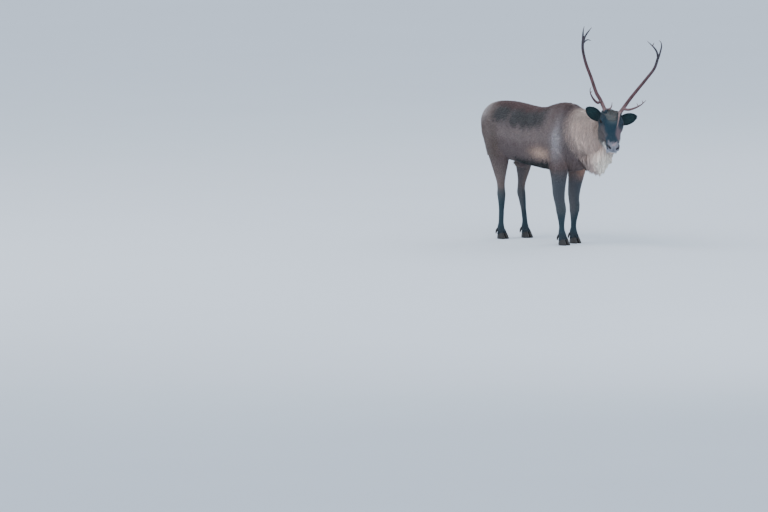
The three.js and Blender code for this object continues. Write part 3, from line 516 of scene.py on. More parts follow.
upperHead = {
    "columns": "at top bottom half squareTop squareBottom",
    "rows": [
        (-0.29, -88, -100, 22, 2.0, 2.0),
        (-0.24, -76, -108, 46, 2.0, 2.0),
        (-0.12, -38, -114, 66, 2.0, 2.1),
        (0.0, -1, -114, 75, 2.2, 2.2),
        (0.12, -3, -112, 85, 2.3, 2.2),
        (0.22, -9, -108, 91, 2.2, 2.2),
        (0.34, -17, -102, 84, 2.0, 2.2),
        (0.48, -26, -96, 69, 2.0, 2.2),
        (0.63, -34, -91, 58, 2.1, 2.2),
        (0.77, -38, -88, 52, 2.2, 2.3),
        (0.88, -40, -88, 53, 2.3, 2.4),
        (0.95, -45, -88, 49, 2.3, 2.4),
        (0.985, -53, -86, 40, 2.2, 2.2),
        (1.0, -63, -80, 24, 2.0, 2.0),
    ],
}
lowerJaw = {
    "columns": "at top bottom half squareTop squareBottom",
    "rows": [
        (0.0, -72, -124, 48, 2.0, 2.0),
        (0.1, -70, -146, 68, 2.0, 2.0),
        (0.24, -70, -158, 76, 2.0, 2.0),
        (0.38, -70, -158, 74, 2.0, 2.0),
        (0.54, -70, -150, 63, 2.0, 2.0),
        (0.7, -70, -136, 48, 2.0, 2.0),
        (0.84, -70, -130, 43, 2.0, 2.0),
        (0.93, -72, -129, 39, 2.0, 2.0),
        (0.975, -76, -119, 32, 2.0, 2.0),
        (1.0, -82, -108, 18, 2.0, 2.0),
    ],
}
faceCoat = 2.0  # the skin of the head lies this far inside the short hair of the face


# Superellipse sections along the face, taken in by the coat and closer together towards both ends
def headShell(table, rings, inside):
    t = (1 - np.cos(np.pi * np.linspace(0, 1, rings))) / 2
    first, last = table["rows"][0][0], table["rows"][-1][0]
    at = first + (last - first) * t
    row = {name: value[:, None] for name, value in readTable(table, at).items()}
    row["middle"] = (row["top"] + row["bottom"]) / 2
    row["top"] = row["top"] - inside
    row["bottom"] = row["bottom"] + inside
    row["half"] = row["half"] - inside
    side, rise = ovalOffsets(row, turns(72)[None, :])
    along = np.broadcast_to(at[:, None] * headPose["length"], side.shape)
    return ringShell(fromHead(np.stack([along, side, row["middle"] + rise], -1)))


eye = {"along": 76.4, "side": 74, "out": -42, "radius": 17.5, "gaze": (0.25, 1.0, 0.32)}
# Folds and swellings of the head, the same on both sides: where, how far they reach, and how far they rise
headForms = {
    "browRidge": ((62, 72, -20), (30, 14, 14), 7),
    "browFront": ((92, 70, -24), (18, 14, 12), 4),
    "underEye": ((84, 82, -66), (26, 14, 10), 5),
    "eyeSocket": ((76, 90, -42), (16, 14, 12), -2),
    "tearGland": ((112, 76, -50), (12, 14, 6), -4),
    "cheekBone": ((120, 74, -66), (55, 16, 10), 4),
    "cheek": ((70, 72, -112), (60, 30, 36), 6),
    "jawSide": ((180, 62, -122), (60, 22, 28), 5),
    "noseSide": ((215, 50, -58), (60, 16, 12), -4),
    "nostrilWing": ((300, 36, -50), (22, 16, 12), 5),
    "nostrilEdge": ((318, 26, -62), (12, 10, 10), 4),
    "upperLip": ((312, 24, -80), (20, 18, 8), 4),
    "lipSide": ((265, 48, -82), (36, 12, 8), 3),
    "lowerLip": ((296, 16, -100), (20, 26, 8), 3),
    "chin": ((276, 0, -122), (26, 24, 10), 3),
    "pedicle": ((0, 48, -14), (20, 18, 22), 7),
    "crown": ((-20, 0, -4), (34, 32, 22), -2),
    "forehead": ((44, 0, -4), (40, 22, 14), -2),
    "templeHollow": ((14, 74, -40), (26, 18, 18), -3),
}
headCreases = [
    ((228, 50, -62), (240, 50, -78), 1.6),
    ((96, 84, -62), (118, 80, -66), 2.2),
    ((52, 88, -56), (70, 88, -66), 1.6),
    ((60, 82, -18), (88, 80, -16), 1.6),
]
nostril = {"start": (316, 24, -57), "end": (294, 47, -51), "radius": 6.0, "depth": 12}
mouth = {
    "ahead": [218, 245, 280, 306, 322, 334],
    "height": [-95, -92, -87, -82, -78, -76],
    "radius": 3.2,
    "depth": 6.5,
}


# Places in the head's frame, with the right half mirrored onto the left
def onLeftHalf(points):
    place = toHead(points)
    place[:, 1] = np.abs(place[:, 1])
    return place


# Distance of points to a run of straight lines
def distanceToLine(points, line):
    line = np.array(line, float)
    near = np.full(len(points), 1e9)
    for start, end in zip(line[:-1], line[1:]):
        run = end - start
        t = np.clip(((points - start) @ run) / (run @ run), 0, 1)
        near = np.minimum(near, np.linalg.norm(points - start - t[:, None] * run, axis=1))
    return near


# How far above or below the line of the mouth a point lies, growing again behind its corner
def fromMouth(mirrored):
    a, _, c = mirrored.T
    away = np.abs(c - np.interp(a, mouth["ahead"], mouth["height"]))
    return away + 0.8 * np.maximum(mouth["ahead"][0] - a, 0)


# Bells push the skin of the head out or in along its normals, and the mouth and nostrils sink as grooves
def sculptHead(piece):
    points, normals, _ = readMesh(piece)
    mirrored = onLeftHalf(points)
    push = sum(by * bell(mirrored, middle, reach) for middle, reach, by in headForms.values())
    groove = fromMouth(mirrored)
    push -= mouth["depth"] * np.exp(-((groove / mouth["radius"]) ** 2))
    push += 1.8 * np.exp(-(((groove - 8) / 4.5) ** 2)) * ramp(mirrored[:, 0], 215, 260)
    hole = distanceToLine(mirrored, [nostril["start"], nostril["end"]])
    push -= nostril["depth"] * np.exp(-((hole / nostril["radius"]) ** 4))
    push -= 2.6 * bell(mirrored, (328, 0, -76), (14, 2.6, 12))  # the groove below the nose
    for start, end, depth in headCreases:
        push -= depth * np.exp(-((distanceToLine(mirrored, [start, end]) / 4) ** 2))
    return movePoints(piece, points + normals * push[:, None])


# A lid is a bowed band round the eye, from the almond of its opening to its seat in the skull
lids = {"open": (14.5, 8.8), "seat": 1.35, "thick": 2.4, "clear": 0.4, "corner": 0.35}


# In the head's frame, as are the eye's axes: the way it looks, ahead across it, and up across it
def eyeMiddle(side):
    return np.array([eye["along"], side * eye["side"], eye["out"]])


def eyeAxes(side):
    gaze = unit(np.array([eye["gaze"][0], side * eye["gaze"][1], eye["gaze"][2]]))
    front = unit(np.array([1.0, 0.0, 0.0]) - gaze * gaze[0])
    return gaze, front, np.cross(gaze, front) * side


# Each ring leans from the almond's edge to the seat, at the eye's radius and the lid's thickness over it
def lidShell(side):
    gaze, front, above = eyeAxes(side)
    angle = turns(64)[:, None]
    radius = eye["radius"]
    long, tall = lids["open"]
    almondLong = long * np.cos(angle)
    almondTall = tall * np.sin(angle) * (1 - lids["corner"] * np.abs(np.cos(angle)) ** 3)
    edge = np.arcsin(np.clip(np.hypot(almondLong, almondTall) / (radius + 2), 0, 0.98))
    around = np.arctan2(almondTall, almondLong)
    inner, outer = radius + lids["clear"], radius + lids["clear"] + lids["thick"]
    share = np.array([0, 0.12, 0.4, 0.7, 1, 1, 0.7, 0.4, 0.12, 0])[None, :]
    shell = np.array([0.5, 0.95, 1.0, 0.9, 0.7, 0, 0, 0, 0.05, 0.2])[None, :]
    lean = edge + (lids["seat"] - edge) * share
    reach = inner + (outer - inner) * shell
    flatFront = np.cos(around) * np.sin(lean) * reach
    flatAbove = np.sin(around) * np.sin(lean) * reach
    out = np.cos(lean) * reach
    flat = flatFront[..., None] * front + flatAbove[..., None] * above
    return loopShell(fromHead(eyeMiddle(side) + flat + out[..., None] * gaze))


# Ears: a leaf with its cup turned ahead
earForm = {
    "columns": "at wide back cup",
    "rows": [
        (-0.06, 18, 18, -14),
        (0.1, 28, 22, -8),
        (0.26, 38, 24, 12),
        (0.46, 45, 24, 17),
        (0.66, 43, 20, 14),
        (0.83, 33, 15, 8.5),
        (0.95, 19, 9, 4),
        (1.0, 8, 5, 0),
    ],
}
ears = {
    -1: {"root": (20, -52, -98), "tip": (-47, -184, -56), "cup": (0.68, -0.2, 0.73)},
    1: {"root": (24, 54, -103), "tip": (-21, 205, -60), "cup": (0.68, 0.2, 0.73)},
}
earCoat = 1.2  # the skin of the ears lies this far inside their hair


# The ear's root, the way to its tip, its length, the way its cup opens, and the way across it
def earAxes(side):
    root, tip = fromHead(ears[side]["root"]), fromHead(ears[side]["tip"])
    axis = unit(tip - root)
    opening = np.array(ears[side]["cup"]) @ headAxes
    opening = unit(opening - axis * (opening @ axis))
    return root, axis, np.linalg.norm(tip - root), opening, np.cross(axis, opening)


# Each section runs along the back of the ear and returns along its cup, with a rolled rim
def earShell(side):
    root, axis, length, opening, across = earAxes(side)
    at = np.linspace(-0.06, 1, 56)
    row = {name: value[:, None] for name, value in readTable(earForm, at).items()}
    angle = np.linspace(0, np.pi, 22, endpoint=False)[None, :]
    rim = 2.2 * np.ones_like(at)[:, None]
    wide = row["wide"] - earCoat
    back = np.stack([wide * np.cos(angle), -(row["back"] - earCoat) * np.sin(angle) ** 0.8], -1)
    cupAngle = np.pi - angle
    deep = row["cup"] + earCoat
    cup = np.stack([(wide - rim) * np.cos(cupAngle), -deep * np.sin(cupAngle) + rim * 0.5], -1)
    offsets = np.concatenate([back, cup], 1)
    middle = root + at[:, None, None] * length * axis
    return ringShell(middle + offsets[..., :1] * across + offsets[..., 1:] * opening)


tail = {"path": [(-815, 0, 985), (-846, 0, 966), (-864, 0, 930), (-868, 0, 890)], "radii": (17, 9)}


# A smooth line through a few points: the table's cubic read by the length walked from point to point
def smoothPath(path, count):
    path = np.array(path, float)
    walked = np.concatenate([[0], np.cumsum(np.linalg.norm(np.diff(path, axis=0), axis=1))])
    table = {"columns": "walked x y z", "rows": np.column_stack([walked, path])}
    read = readTable(table, np.linspace(0, walked[-1], count * 4))
    fine = np.stack([read["x"], read["y"], read["z"]], -1)
    length = np.concatenate([[0], np.cumsum(np.linalg.norm(np.diff(fine, axis=0), axis=1))])
    even = np.linspace(0, length[-1], count)
    return np.stack([np.interp(even, length, fine[:, k]) for k in range(3)], -1)


# Rings square to a line, each turned to face a fixed direction, with a radius for each place and turn
def tubeGrid(points, radii, towardsWhich, flat=1.0):
    tangent = unit(np.gradient(points, axis=0))
    across = unit(np.cross(tangent, towardsWhich))
    raised = np.cross(across, tangent)
    angle = turns(radii.shape[1])[None, :, None]
    offsets = across[:, None] * np.cos(angle) + raised[:, None] * np.sin(angle) * flat
    return points[:, None] + offsets * radii[..., None]


# Flattened rings along the tail's line, thinner towards its tip
def tailShell():
    points = smoothPath(tail["path"], 24)
    t = np.linspace(0, 1, 24)[:, None]
    radii = (tail["radii"][0] + (tail["radii"][1] - tail["radii"][0]) * t) * np.ones((1, 20))
    return ringShell(tubeGrid(points, radii, np.array([0.0, 1.0, 0.0]), 0.8))


# One skin: the body melted from its parts, the head melted finer and sculpted, then joined with lids and ears
skinSettings = {"bodyVoxel": 5.2, "bodySmoothing": 6, "bodyKeep": 0.42, "headVoxel": 2.6, "headSmoothing": 5}
bodyShells = [trunkShell(), maneShell(), tailShell(), ballShell(sheath["middle"], sheath["radii"])]
for leg in legs.values():
    bodyShells += [legShell(leg), toeShell(leg, 1), toeShell(leg, -1)]
bodyMelt = [skinSettings[word] for word in ("bodyVoxel", "bodySmoothing", "bodyKeep")]
bodySkin = melted("skin", bodyShells, *bodyMelt)
# Where the thigh leaves the trunk the skin is softened on both sides
hip = {"middle": (-700, 170, 700), "reach": (135, 95, 120), "share": 0.6, "rounds": 45}


# Each point moves, round by round, by its share of the way to the mean of the points that an edge joins it to
def softened(piece, form):
    points, _, _ = readMesh(piece)
    ends = np.empty(len(piece.data.edges) * 2, np.int32)
    piece.data.edges.foreach_get("vertices", ends)
    first, second = ends.reshape(-1, 2).T
    count = len(points)
    neighbours = np.bincount(ends, minlength=count)[:, None]
    mirrored = points * (1, 0, 1) + np.abs(points) * (0, 1, 0)
    share = form["share"] * np.minimum(2 * bell(mirrored, form["middle"], form["reach"]), 1)[:, None]
    for _ in range(form["rounds"]):
        forward = [np.bincount(first, points[second, k], count) for k in range(3)]
        backward = [np.bincount(second, points[first, k], count) for k in range(3)]
        points = points + share * ((np.stack(forward, -1) + np.stack(backward, -1)) / neighbours - points)
    return movePoints(piece, points)


softened(bodySkin, hip)
print("body skin:", len(bodySkin.data.polygons), "faces")

headShells = [headShell(upperHead, 90, faceCoat), headShell(lowerJaw, 70, faceCoat)]
headMelt = [skinSettings[word] for word in ("headVoxel", "headSmoothing")]
headSkin = sculptHead(melted("headSkin", headShells, *headMelt))
print("head skin:", len(headSkin.data.polygons), "faces")


# Joins closed meshes into one closed mesh
def uniteInto(piece, others):
    for other in others:
        union = piece.modifiers.new("union", "BOOLEAN")
        union.operation = "UNION"
        union.solver = "MANIFOLD"
        union.object = other
    bake(piece)
    for other in others:
        dropPiece(other)
    return piece


lidsAndEars = [lidShell(1), lidShell(-1), earShell(1), earShell(-1)]
extras = [newPiece("extra", *joinShells([shell])) for shell in lidsAndEars]
skin = uniteInto(bodySkin, [headSkin, *extras])
skinPoints, skinNormals, skinTriangles = readMesh(skin)
print("skin:", len(skinTriangles), "triangles")


# True where a point is in the head, whose sections are grown by a few millimetres and by more along the face
def headShare(points, grow=4.0, faceGrow=None):
    place = toHead(points)
    at = place[:, 0] / headPose["length"]
    if faceGrow is not None:
        grow = grow + (faceGrow - grow) * ramp(at, -0.02, 0.1)
    row = readTable(upperHead, at)
    jaw = readTable(lowerJaw, at)
    bottom = np.where((at > 0) & (at < 0.975), np.minimum(row["bottom"], jaw["bottom"]), row["bottom"])
    middle = (row["top"] + bottom) / 2
    across = place[:, 1] / (row["half"] + grow)
    tall = (place[:, 2] - middle) / ((row["top"] - bottom) / 2 + grow)
    inside = (np.abs(across) ** 2.2 + np.abs(tall) ** 2.2) < 1
    return inside & (at > -0.29) & (at < 1.06)


# Places on the ear: the share of its length, across it, and out of its cup
def earPlace(points, side):
    root, axis, length, opening, across = earAxes(side)
    away = points - root
    return (away @ axis) / length, away @ across, away @ opening


def onEar(points, side, grow=4.0):
    at, across, depth = earPlace(points, side)
    row = readTable(earForm, at)
    inside = (np.abs(across) < row["wide"] + grow) & (depth < grow + 2) & (depth > -row["back"] - grow)
    return inside & (at > 0.12) & (at < 1.05)


legRange = (50, 760)  # heights at which a leg has a middle


# Distance from the leg's middle, in half sizes of its section
def legReach(points, leg):
    middle, row = legMiddle(leg, np.clip(points[:, 2], *legRange))
    return np.hypot((points[:, 0] - middle[:, 0]) / row["long"], (points[:, 1] - middle[:, 1]) / row["wide"])


earNames = {-1: "ear_right", 1: "ear_left"}
partNames = ["trunk", "neck", "mane", "head", *earNames.values(), *legs, "tail"]
part = {name: k for k, name in enumerate(partNames)}


# Which part each point belongs to, as a number: trunk or neck, then whatever lies over it
def partOf(points):
    x, y, z = points.T
    floor = readTable(trunk, x)["bottom"]
    found = np.where(beforeNeckBase(x, z) > 0, part["neck"], part["trunk"])
    found[(found == part["neck"]) & (z < floor + 34)] = part["mane"]
    underNeck = (z < readTable(maneMass, x)["middle"] - 40) & (np.abs(y - neckBow(x)) < 60)
    found[(found == part["neck"]) & underNeck] = part["mane"]
    for name, leg in legs.items():
        highest, aboveFloor = (600, 28) if leg["form"] is foreLeg else (640, 60)
        near = (legReach(points, leg) < 1.35) | (z < 60)
        besideBone = np.abs(x - legMiddle(leg, np.clip(z, *legRange))[0][:, 0]) < 110
        outOfTrunk = (z < highest) & (z < floor + aboveFloor)
        found[outOfTrunk & near & besideBone & (y * leg["side"] > 0)] = part[name]
    found[(x < -842) & (np.abs(y) < 26) & (z > 855)] = part["tail"]
    nearEye = np.linalg.norm(onLeftHalf(points) - eyeMiddle(1), axis=1) < 34
    found[headShare(points, 4.0, 14.0) | nearEye] = part["head"]
    for side, name in earNames.items():
        found[onEar(points, side)] = part[name]
    return found


# Markings: every colour as it looks
coatColours = {
    "back": light(80, 59, 59),
    "saddle": light(54, 54, 56),
    "flank": light(121, 107, 105),
    "lowerFlank": light(104, 89, 88),
    "belly": light(13, 16, 17),
    "rib": light(164, 157, 160),
    "rust": light(206, 173, 152),
    "withers": light(100, 85, 84),
    "thigh": light(112, 98, 94),
    # painted shade in the fold before the thigh
    "fold": light(79, 66, 58),
    "rump": light(196, 188, 186),
    "line": light(82, 76, 79),
    "neck": light(215, 190, 177),
    "neckEdge": light(149, 131, 124),
    "neckTop": light(193, 175, 165),
    # painted shade on the animal's right cheek
    "cheekPaintedShade": light(77, 76, 77),
    "nostrilEdge": light(44, 52, 58),
    "neckBrown": light(182, 158, 144),
    # painted shadow of the head on the neck beside the ear's root
    "neckPaintedShadow": light(108, 88, 76),
    # brown hair darkened by painted shade where the mane meets the breast
    "brownShadeWedge": light(52, 35, 31),
    "mane": light(204, 180, 170),
    "maneTip": light(255, 246, 232),
    "breast": light(100, 82, 79),
    # painted light on the animal's left breast and left fore leg
    "breastPaintedLight": light(160, 124, 108),
    "forearm": light(71, 75, 81),
    "cannon": light(46, 63, 72),
    "hock": light(75, 79, 82),
    "innerLeg": light(96, 94, 98),
    "sock": light(46, 52, 60),
    # dark face, its blue tint painted skylight in shade
    "face": light(22, 49, 63),
    "cheek": light(102, 87, 93),
    "cap": light(98, 106, 106),
    "capWarm": light(138, 114, 108),
    "muzzle": light(127, 128, 138),
    "muzzlePink": light(158, 140, 146),
    "lip": light(160, 162, 172),
    "nostril": light(26, 26, 30),
    "jaw": light(236, 230, 224),
    "jawSide": light(92, 88, 84),
    "jawBack": light(204, 184, 172),
    "ear": light(17, 36, 43),
    "earInside": light(36, 66, 69),
    "sheath": light(150, 134, 92),
    "tailTop": light(120, 106, 104),
    "tailEdge": light(206, 202, 200),
}


# Colours laid over a ground one after another, each by its share
def layered(count, ground, layers, palette=coatColours):
    colours = np.broadcast_to(palette[ground], (count, 3))
    for share, name in layers:
        colours = towards(colours, share, palette[name])
    return colours


# How high a point lies in the trunk, from 0 at its underside to 1 at its top line
def trunkHeight(x, z):
    row = readTable(trunk, x)
    return np.clip((z - row["bottom"]) / (row["top"] - row["bottom"]), 0, 1)


# Where the pale neck begins, at each height
paleEdge = {
    "columns": "z x",
    "rows": [
        (540, 330), (600, 300), (650, 268), (720, 206), (780, 172),
        (870, 146), (950, 132), (1020, 132), (1060, 150),
    ],
}


def beforePaleEdge(points):
    return points[:, 0] - readTable(paleEdge, points[:, 2])["x"]


# The tuft of the forehead narrows to a point between the eyes, a little to the animal's right
def capShare(place):
    a, b, c = place.T
    half = np.clip(62 - 0.47 * a, 12, 50)
    return ramp(half - np.abs(b + 6), -16, 16) * (1 - ramp(a, 60, 100)) * ramp(c, -62, -34)


# The head: a dark stripe down the face between brown cheeks, a warm tuft above, a pale muzzle and jaw below.
# a, b and c run along the face, to its left and out of it, and a swirl through space makes the edges uneven
def headMarkings(points):
    mirrored = onLeftHalf(points)
    place = toHead(points)
    a, b, c = place.T
    wide = np.abs(b)
    swirl = ripple(points, 22)
    fleck = ripple(points, 6.5, 0.4)
    # The animal's right half is in painted shade: a darker cheek, the stripe moved towards it, a longer dark
    # temple
    right = ramp(-b, -10, 30)
    stripe = np.interp(a, [20, 110, 150, 200, 245, 290], [66, 60, 42, 34, 50, 50]) + 4 * swirl
    fromStripe = np.abs(b + 13 * ramp(a, 40, 90) * (1 - ramp(a, 236, 262)))
    dark = ramp(stripe - fromStripe, -12, 12) * ramp(c, -90, -62)
    templeArea = (1 - ramp(a + 7 * swirl + 22 * right, 118, 158)) * ramp(wide, 34, 56) * ramp(c, -112, -84)
    noseSide = ramp(a + 4 * swirl, 222, 250) * (1 - ramp(a, 296, 308))
    noseSide = noseSide * ramp(wide, 30, 44) * ramp(c, -108, -94)
    inCap = capShare(place + 3 * swirl[:, None])
    fringe = ramp(-c + 3 * swirl + 0.12 * (a - 200), 102, 114) * ramp(a + 6 * swirl, 190, 218)
    nose = ramp(a + 5 * swirl + 9 * fleck + 0.25 * np.minimum(wide, 34), 262, 286) * ramp(c, -90, -80)
    nose = nose * ramp(42 - wide + 3 * fleck, -7, 8)
    lip = ramp(a, 268, 296) * ramp(-c + 0.1 * (a - 300), 74, 84) * ramp(a - 0.9 * (wide - 44), 262, 284)
    hole = distanceToLine(mirrored, [nostril["start"], nostril["end"]])
    gaze, front, above = eyeAxes(1)
    away = mirrored - eyeMiddle(1)
    opening = np.hypot(away @ front / lids["open"][0], away @ above / lids["open"][1])
    lidMargin = (1 - ramp(opening, 1.25, 1.6)) * (away @ gaze > 8) * (np.linalg.norm(away, axis=1) < 26)
    layers = [
        (0.7 * right, "cheekPaintedShade"),
        (ramp(-c + 4 * swirl, 96, 124) * ramp(a, 20, 70), "jawSide"),
        (np.maximum(np.maximum(dark, 0.92 * templeArea), noseSide), "face"),
        (0.55 * bell(mirrored, (84, 6, -14), (24, 30, 30)), "cap"),
        (inCap, "cap"),
        (0.55 * inCap * ramp(np.sin(0.5 * b + 2 * swirl), 0.0, 0.8), "capWarm"),
        (ramp(-c + 3 * swirl, 122, 142) * ramp(a, 20, 60), "jawBack"),
        (fringe, "jaw"),
        (nose, "muzzle"),
        (nose * ramp(fleck, 0.1, 0.5) * (1 - ramp(a, 296, 312)), "muzzlePink"),
        (lip, "lip"),
        (0.6 * bell(mirrored, (256, 54, -80), (9, 12, 6)), "lip"),
        (0.6 * bell(mirrored, (314, 0, -62), (22, 6, 16)), "nostrilEdge"),
        (0.95 * bell(mirrored, (296, 55, -64), (26, 13, 15)), "nostrilEdge"),
        (0.4 * bell(mirrored, (298, 32, -50), (16, 14, 12)), "nostrilEdge"),
        (1 - ramp(hole, 5.5, 9.0), "nostril"),
        (1 - ramp(fromMouth(mirrored), 2.2, 5.0), "nostril"),
        (lidMargin, "nostril"),
    ]
    return layered(len(points), "cheek", layers)


# Trunk and neck: a dark saddle over a lighter flank, a dark belly, a pale band at the shoulder, a pale neck
def bodyMarkings(points):
    x, y, z = points.T
    height = trunkHeight(x, z)
    folded = np.stack([x, np.abs(y), z], -1)
    swirl = ripple(points, 70)
    small = ripple(points, 24, 1.7)
    darkBand = ramp(x + 14 * small, -690, -610) * (1 - ramp(x, -110, -10))
    darkBand = darkBand * ramp(height + 0.03 * small, 0.62, 0.74)
    between = bell(folded, (-470, 150, 900), (24, 200, 60))
    between = between + 0.5 * bell(folded, (-330, 150, 860), (14, 200, 40))
    underside = ramp(x, -470, -400) * (1 - ramp(x, -20, 50)) * (1 - ramp(height + 0.02 * small, 0.12, 0.19))
    front = ramp(x, -40, 30) * (1 - ramp(z + 14 * swirl, 615, 680))
    ahead = beforePaleEdge(points) + 8 * swirl + 6 * small
    inNeck = ramp(ahead, 20, 90)
    rumpEdge = (1 - ramp(x, -860, -826)) * ramp(z, 740, 800)
    rumpTop = 0.86 * (1 - ramp(x, -850, -670)) * ramp(z, 860, 960)
    layers = [
        (1 - ramp(height + 0.03 * swirl, 0.36, 0.48), "lowerFlank"),
        (1 - ramp(x + 18 * swirl, -690, -560), "thigh"),
        # painted shade in the fold where the thigh meets the flank
        (0.75 * bell(folded, (-612, 180, 730), (40, 200, 150)), "fold"),
        (0.94 * darkBand * (1 - 0.6 * np.clip(between, 0, 1)), "saddle"),
        (ramp(height + 0.02 * swirl, 0.87, 0.96) * (0.3 + 0.7 * ramp(x, -810, -660)), "back"),
        (0.85 * bell(folded, (10, 40, 1000), (120, 120, 110)), "withers"),
        (0.8 * bell(folded, (-90, 180, 690), (95, 200, 46)), "rust"),
        (underside, "belly"),
        (front, "breast"),
        # painted light: the animal's left breast is lighter and warmer
        (front * ramp(y, 0, 60), "breastPaintedLight"),
        (0.95 * bell(folded, (74, 165, 800), (44, 200, 132)), "rib"),
        (0.3 * np.exp(-(((ahead + 26) / 24) ** 2)) * ramp(z, 640, 720), "line"),
        (ramp(ahead, -14, 34), "neckEdge"),
        (inNeck, "neck"),
        (inNeck * ramp(z, 900, 1000), "neckTop"),
        (inNeck * 0.6 * bell(points, (480, -60, 880), (60, 200, 90)), "neckBrown"),
        # painted shadow of the head on the neck, beside each ear's root
        (0.85 * bell(folded, (446, 98, 906), (22, 50, 46)), "neckPaintedShadow"),
        # brown hair darkened by painted shade behind the mane
        (0.9 * bell(folded, (300, 90, 630), (38, 60, 60)), "brownShadeWedge"),
        (0.85 * np.maximum(rumpEdge, rumpTop), "rump"),
        (bell(folded, (-552, 0, 556), (26, 26, 24)), "sheath"),
    ]
    return layered(len(points), "flank", layers)


# Legs: blue-grey cannons, a paler joint and inner side, and browner above the joint
def legMarkings(points, leg):
    _, y, z = points.T
    fore, near = leg["form"] is foreLeg, leg["side"] < 0
    joint = 265 if fore else 335
    middle, row = legMiddle(leg, np.clip(z, *legRange))
    inner = ramp((middle[:, 1] - y) * leg["side"] / row["wide"], 0.2, 0.9)
    layers = [(ramp(z + 10 * ripple(points, 30), joint - 20, joint + 70), "forearm" if fore else "thigh")]
    if fore:
        # the left fore leg's top is lighter and warmer, as painted light
        layers.append(((0.3 if near else 0.9) * ramp(z, 440, 560), "breast" if near else "breastPaintedLight"))
    layers += [
        (0.7 * np.exp(-(((z - joint) / 45) ** 2)), "hock"),
        (0.6 * inner * ramp(z, 150, 260), "innerLeg"),
        (0.55 * (1 - ramp(z, 70, 112)), "sock"),
    ]
    return layered(len(points), "cannon", layers)


# Ears: dark, and paler inside the cup, which is the side of the section's middle that faces its opening
def earMarkings(points, side):
    at, across, depth = earPlace(points, side)
    row = readTable(earForm, at)
    fromAxis = np.clip(np.abs(across) / row["wide"], 0, 1)
    between = -(row["cup"] + row["back"]) / 2 * np.sqrt(1 - fromAxis**2)
    inside = ramp(depth - between, -1.5, 1.5) * (1 - ramp(fromAxis, 0.62, 0.9))
    inside = inside * (1 - 0.8 * ramp(at, 0.8, 0.97))
    # the pale inside fades towards the root as painted shade deep in the cup, and is streaked
    inside = inside * (0.7 + 0.3 * np.sin(0.8 * across + 9 * at)) * (0.35 + 0.65 * ramp(at, 0.3, 0.6))
    return layered(len(points), "ear", [(inside, "earInside")])


def markings(points, parts):
    colours = bodyMarkings(points)
    for name, leg in legs.items():
        mine = parts == part[name]
        share = 1 - ramp(points[mine][:, 2] + 12 * ripple(points[mine], 30), 520, 610)
        colours[mine] = towards(colours[mine], share, legMarkings(points[mine], leg))
    mine = parts == part["head"]
    colours[mine] = headMarkings(points[mine])
    for side, name in earNames.items():
        mine = parts == part[name]
        colours[mine] = earMarkings(points[mine], side)
    mine = parts == part["tail"]
    edge = ramp(np.abs(points[mine][:, 1]), 10, 22)
    colours[mine] = layered(mine.sum(), "tailTop", [(edge, "tailEdge")])
    return colours


# Materials: one shader each, whose colour comes from the tint of the points
def newMaterial(name, roughness, **sockets):
    material = bpy.data.materials.new(name)
    material.use_nodes = True
    shader = material.node_tree.nodes["Principled BSDF"]
    shader.inputs["Roughness"].default_value = roughness
    for socket, value in sockets.items():
        shader.inputs[socket].default_value = value
    return material, material.node_tree.nodes, material.node_tree.links, shader


# A noise through the model's space, stretched by axis
def objectNoise(nodes, links, scale, stretch=(1, 1, 1), detail=3.0):
    place = nodes.new("ShaderNodeTexCoord")
    mapping = nodes.new("ShaderNodeMapping")
    mapping.inputs["Scale"].default_value = stretch
    noise = nodes.new("ShaderNodeTexNoise")
    noise.inputs["Scale"].default_value = scale
    noise.inputs["Detail"].default_value = detail
    links.new(place.outputs["Object"], mapping.inputs["Vector"])
    links.new(mapping.outputs["Vector"], noise.inputs["Vector"])
    return noise.outputs["Fac"]


# The middle range of a noise becomes the range from low to high
def mapRange(nodes, links, value, low, high):
    node = nodes.new("ShaderNodeMapRange")
    limits = {"From Min": 0.3, "From Max": 0.7, "To Min": low, "To Max": high}
    for socket, limit in limits.items():
        node.inputs[socket].default_value = limit
    links.new(value, node.inputs["Value"])
    return node.outputs["Result"]


# The tint of each point, made lighter and darker by a noise through the model's space
def tinted(nodes, links, shader, noise, low, high):
    tint = nodes.new("ShaderNodeAttribute")
    tint.attribute_name = "tint"
    scale = nodes.new("ShaderNodeVectorMath")
    scale.operation = "SCALE"
    links.new(tint.outputs["Color"], scale.inputs[0])
    links.new(mapRange(nodes, links, noise, low, high), scale.inputs["Scale"])
    links.new(scale.outputs["Vector"], shader.inputs["Base Color"])


def addBump(nodes, links, shader, height, strength, distance):
    bump = nodes.new("ShaderNodeBump")
    bump.inputs["Strength"].default_value = strength
    bump.inputs["Distance"].default_value = distance
    links.new(height, bump.inputs["Height"])
    links.new(bump.outputs["Normal"], shader.inputs["Normal"])


hairLook = {"Specular IOR Level": 0.15, "Sheen Weight": 0.1, "Sheen Roughness": 0.5}


# Dull hair with a fine grain along it, which also changes its roughness and raises it
def hairMaterial(name, grain, stretch, roughness, darkest=0.82):
    material, nodes, links, shader = newMaterial(name, roughness, **hairLook)
    noise = objectNoise(nodes, links, grain, stretch)
    tinted(nodes, links, shader, noise, darkest, 1.16)
    links.new(mapRange(nodes, links, noise, roughness + 0.08, roughness - 0.08), shader.inputs["Roughness"])
    addBump(nodes, links, shader, objectNoise(nodes, links, grain * 3, stretch, 2.0), 0.35, 0.002)
    return material


# Skin
skinMaterial = hairMaterial("shortHair", 260, (0.35, 1, 1), 0.85)
skin.data.materials.clear()
skin.data.materials.append(skinMaterial)
skinParts = partOf(skinPoints)
earParts = [part[name] for name in earNames.values()]
underShade = np.where(skinParts == part["head"], 0.9, 0.72)  # the skin is darker than the hair over it
underShade[np.isin(skinParts, earParts)] = 0.85
setTint(skin, markings(skinPoints, skinParts) * underShade[:, None])
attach(skin, "root")
fleshNodes = ["torso", "neck", "head", "ear_right", "ear_left", "tail"]
for name, leg in legs.items():
    fleshNodes += [f"{name}_{leg['upper']}", f"{name}_cannon", f"{name}_pastern"]
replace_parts(skin, *fleshNodes)
print("skin painted")


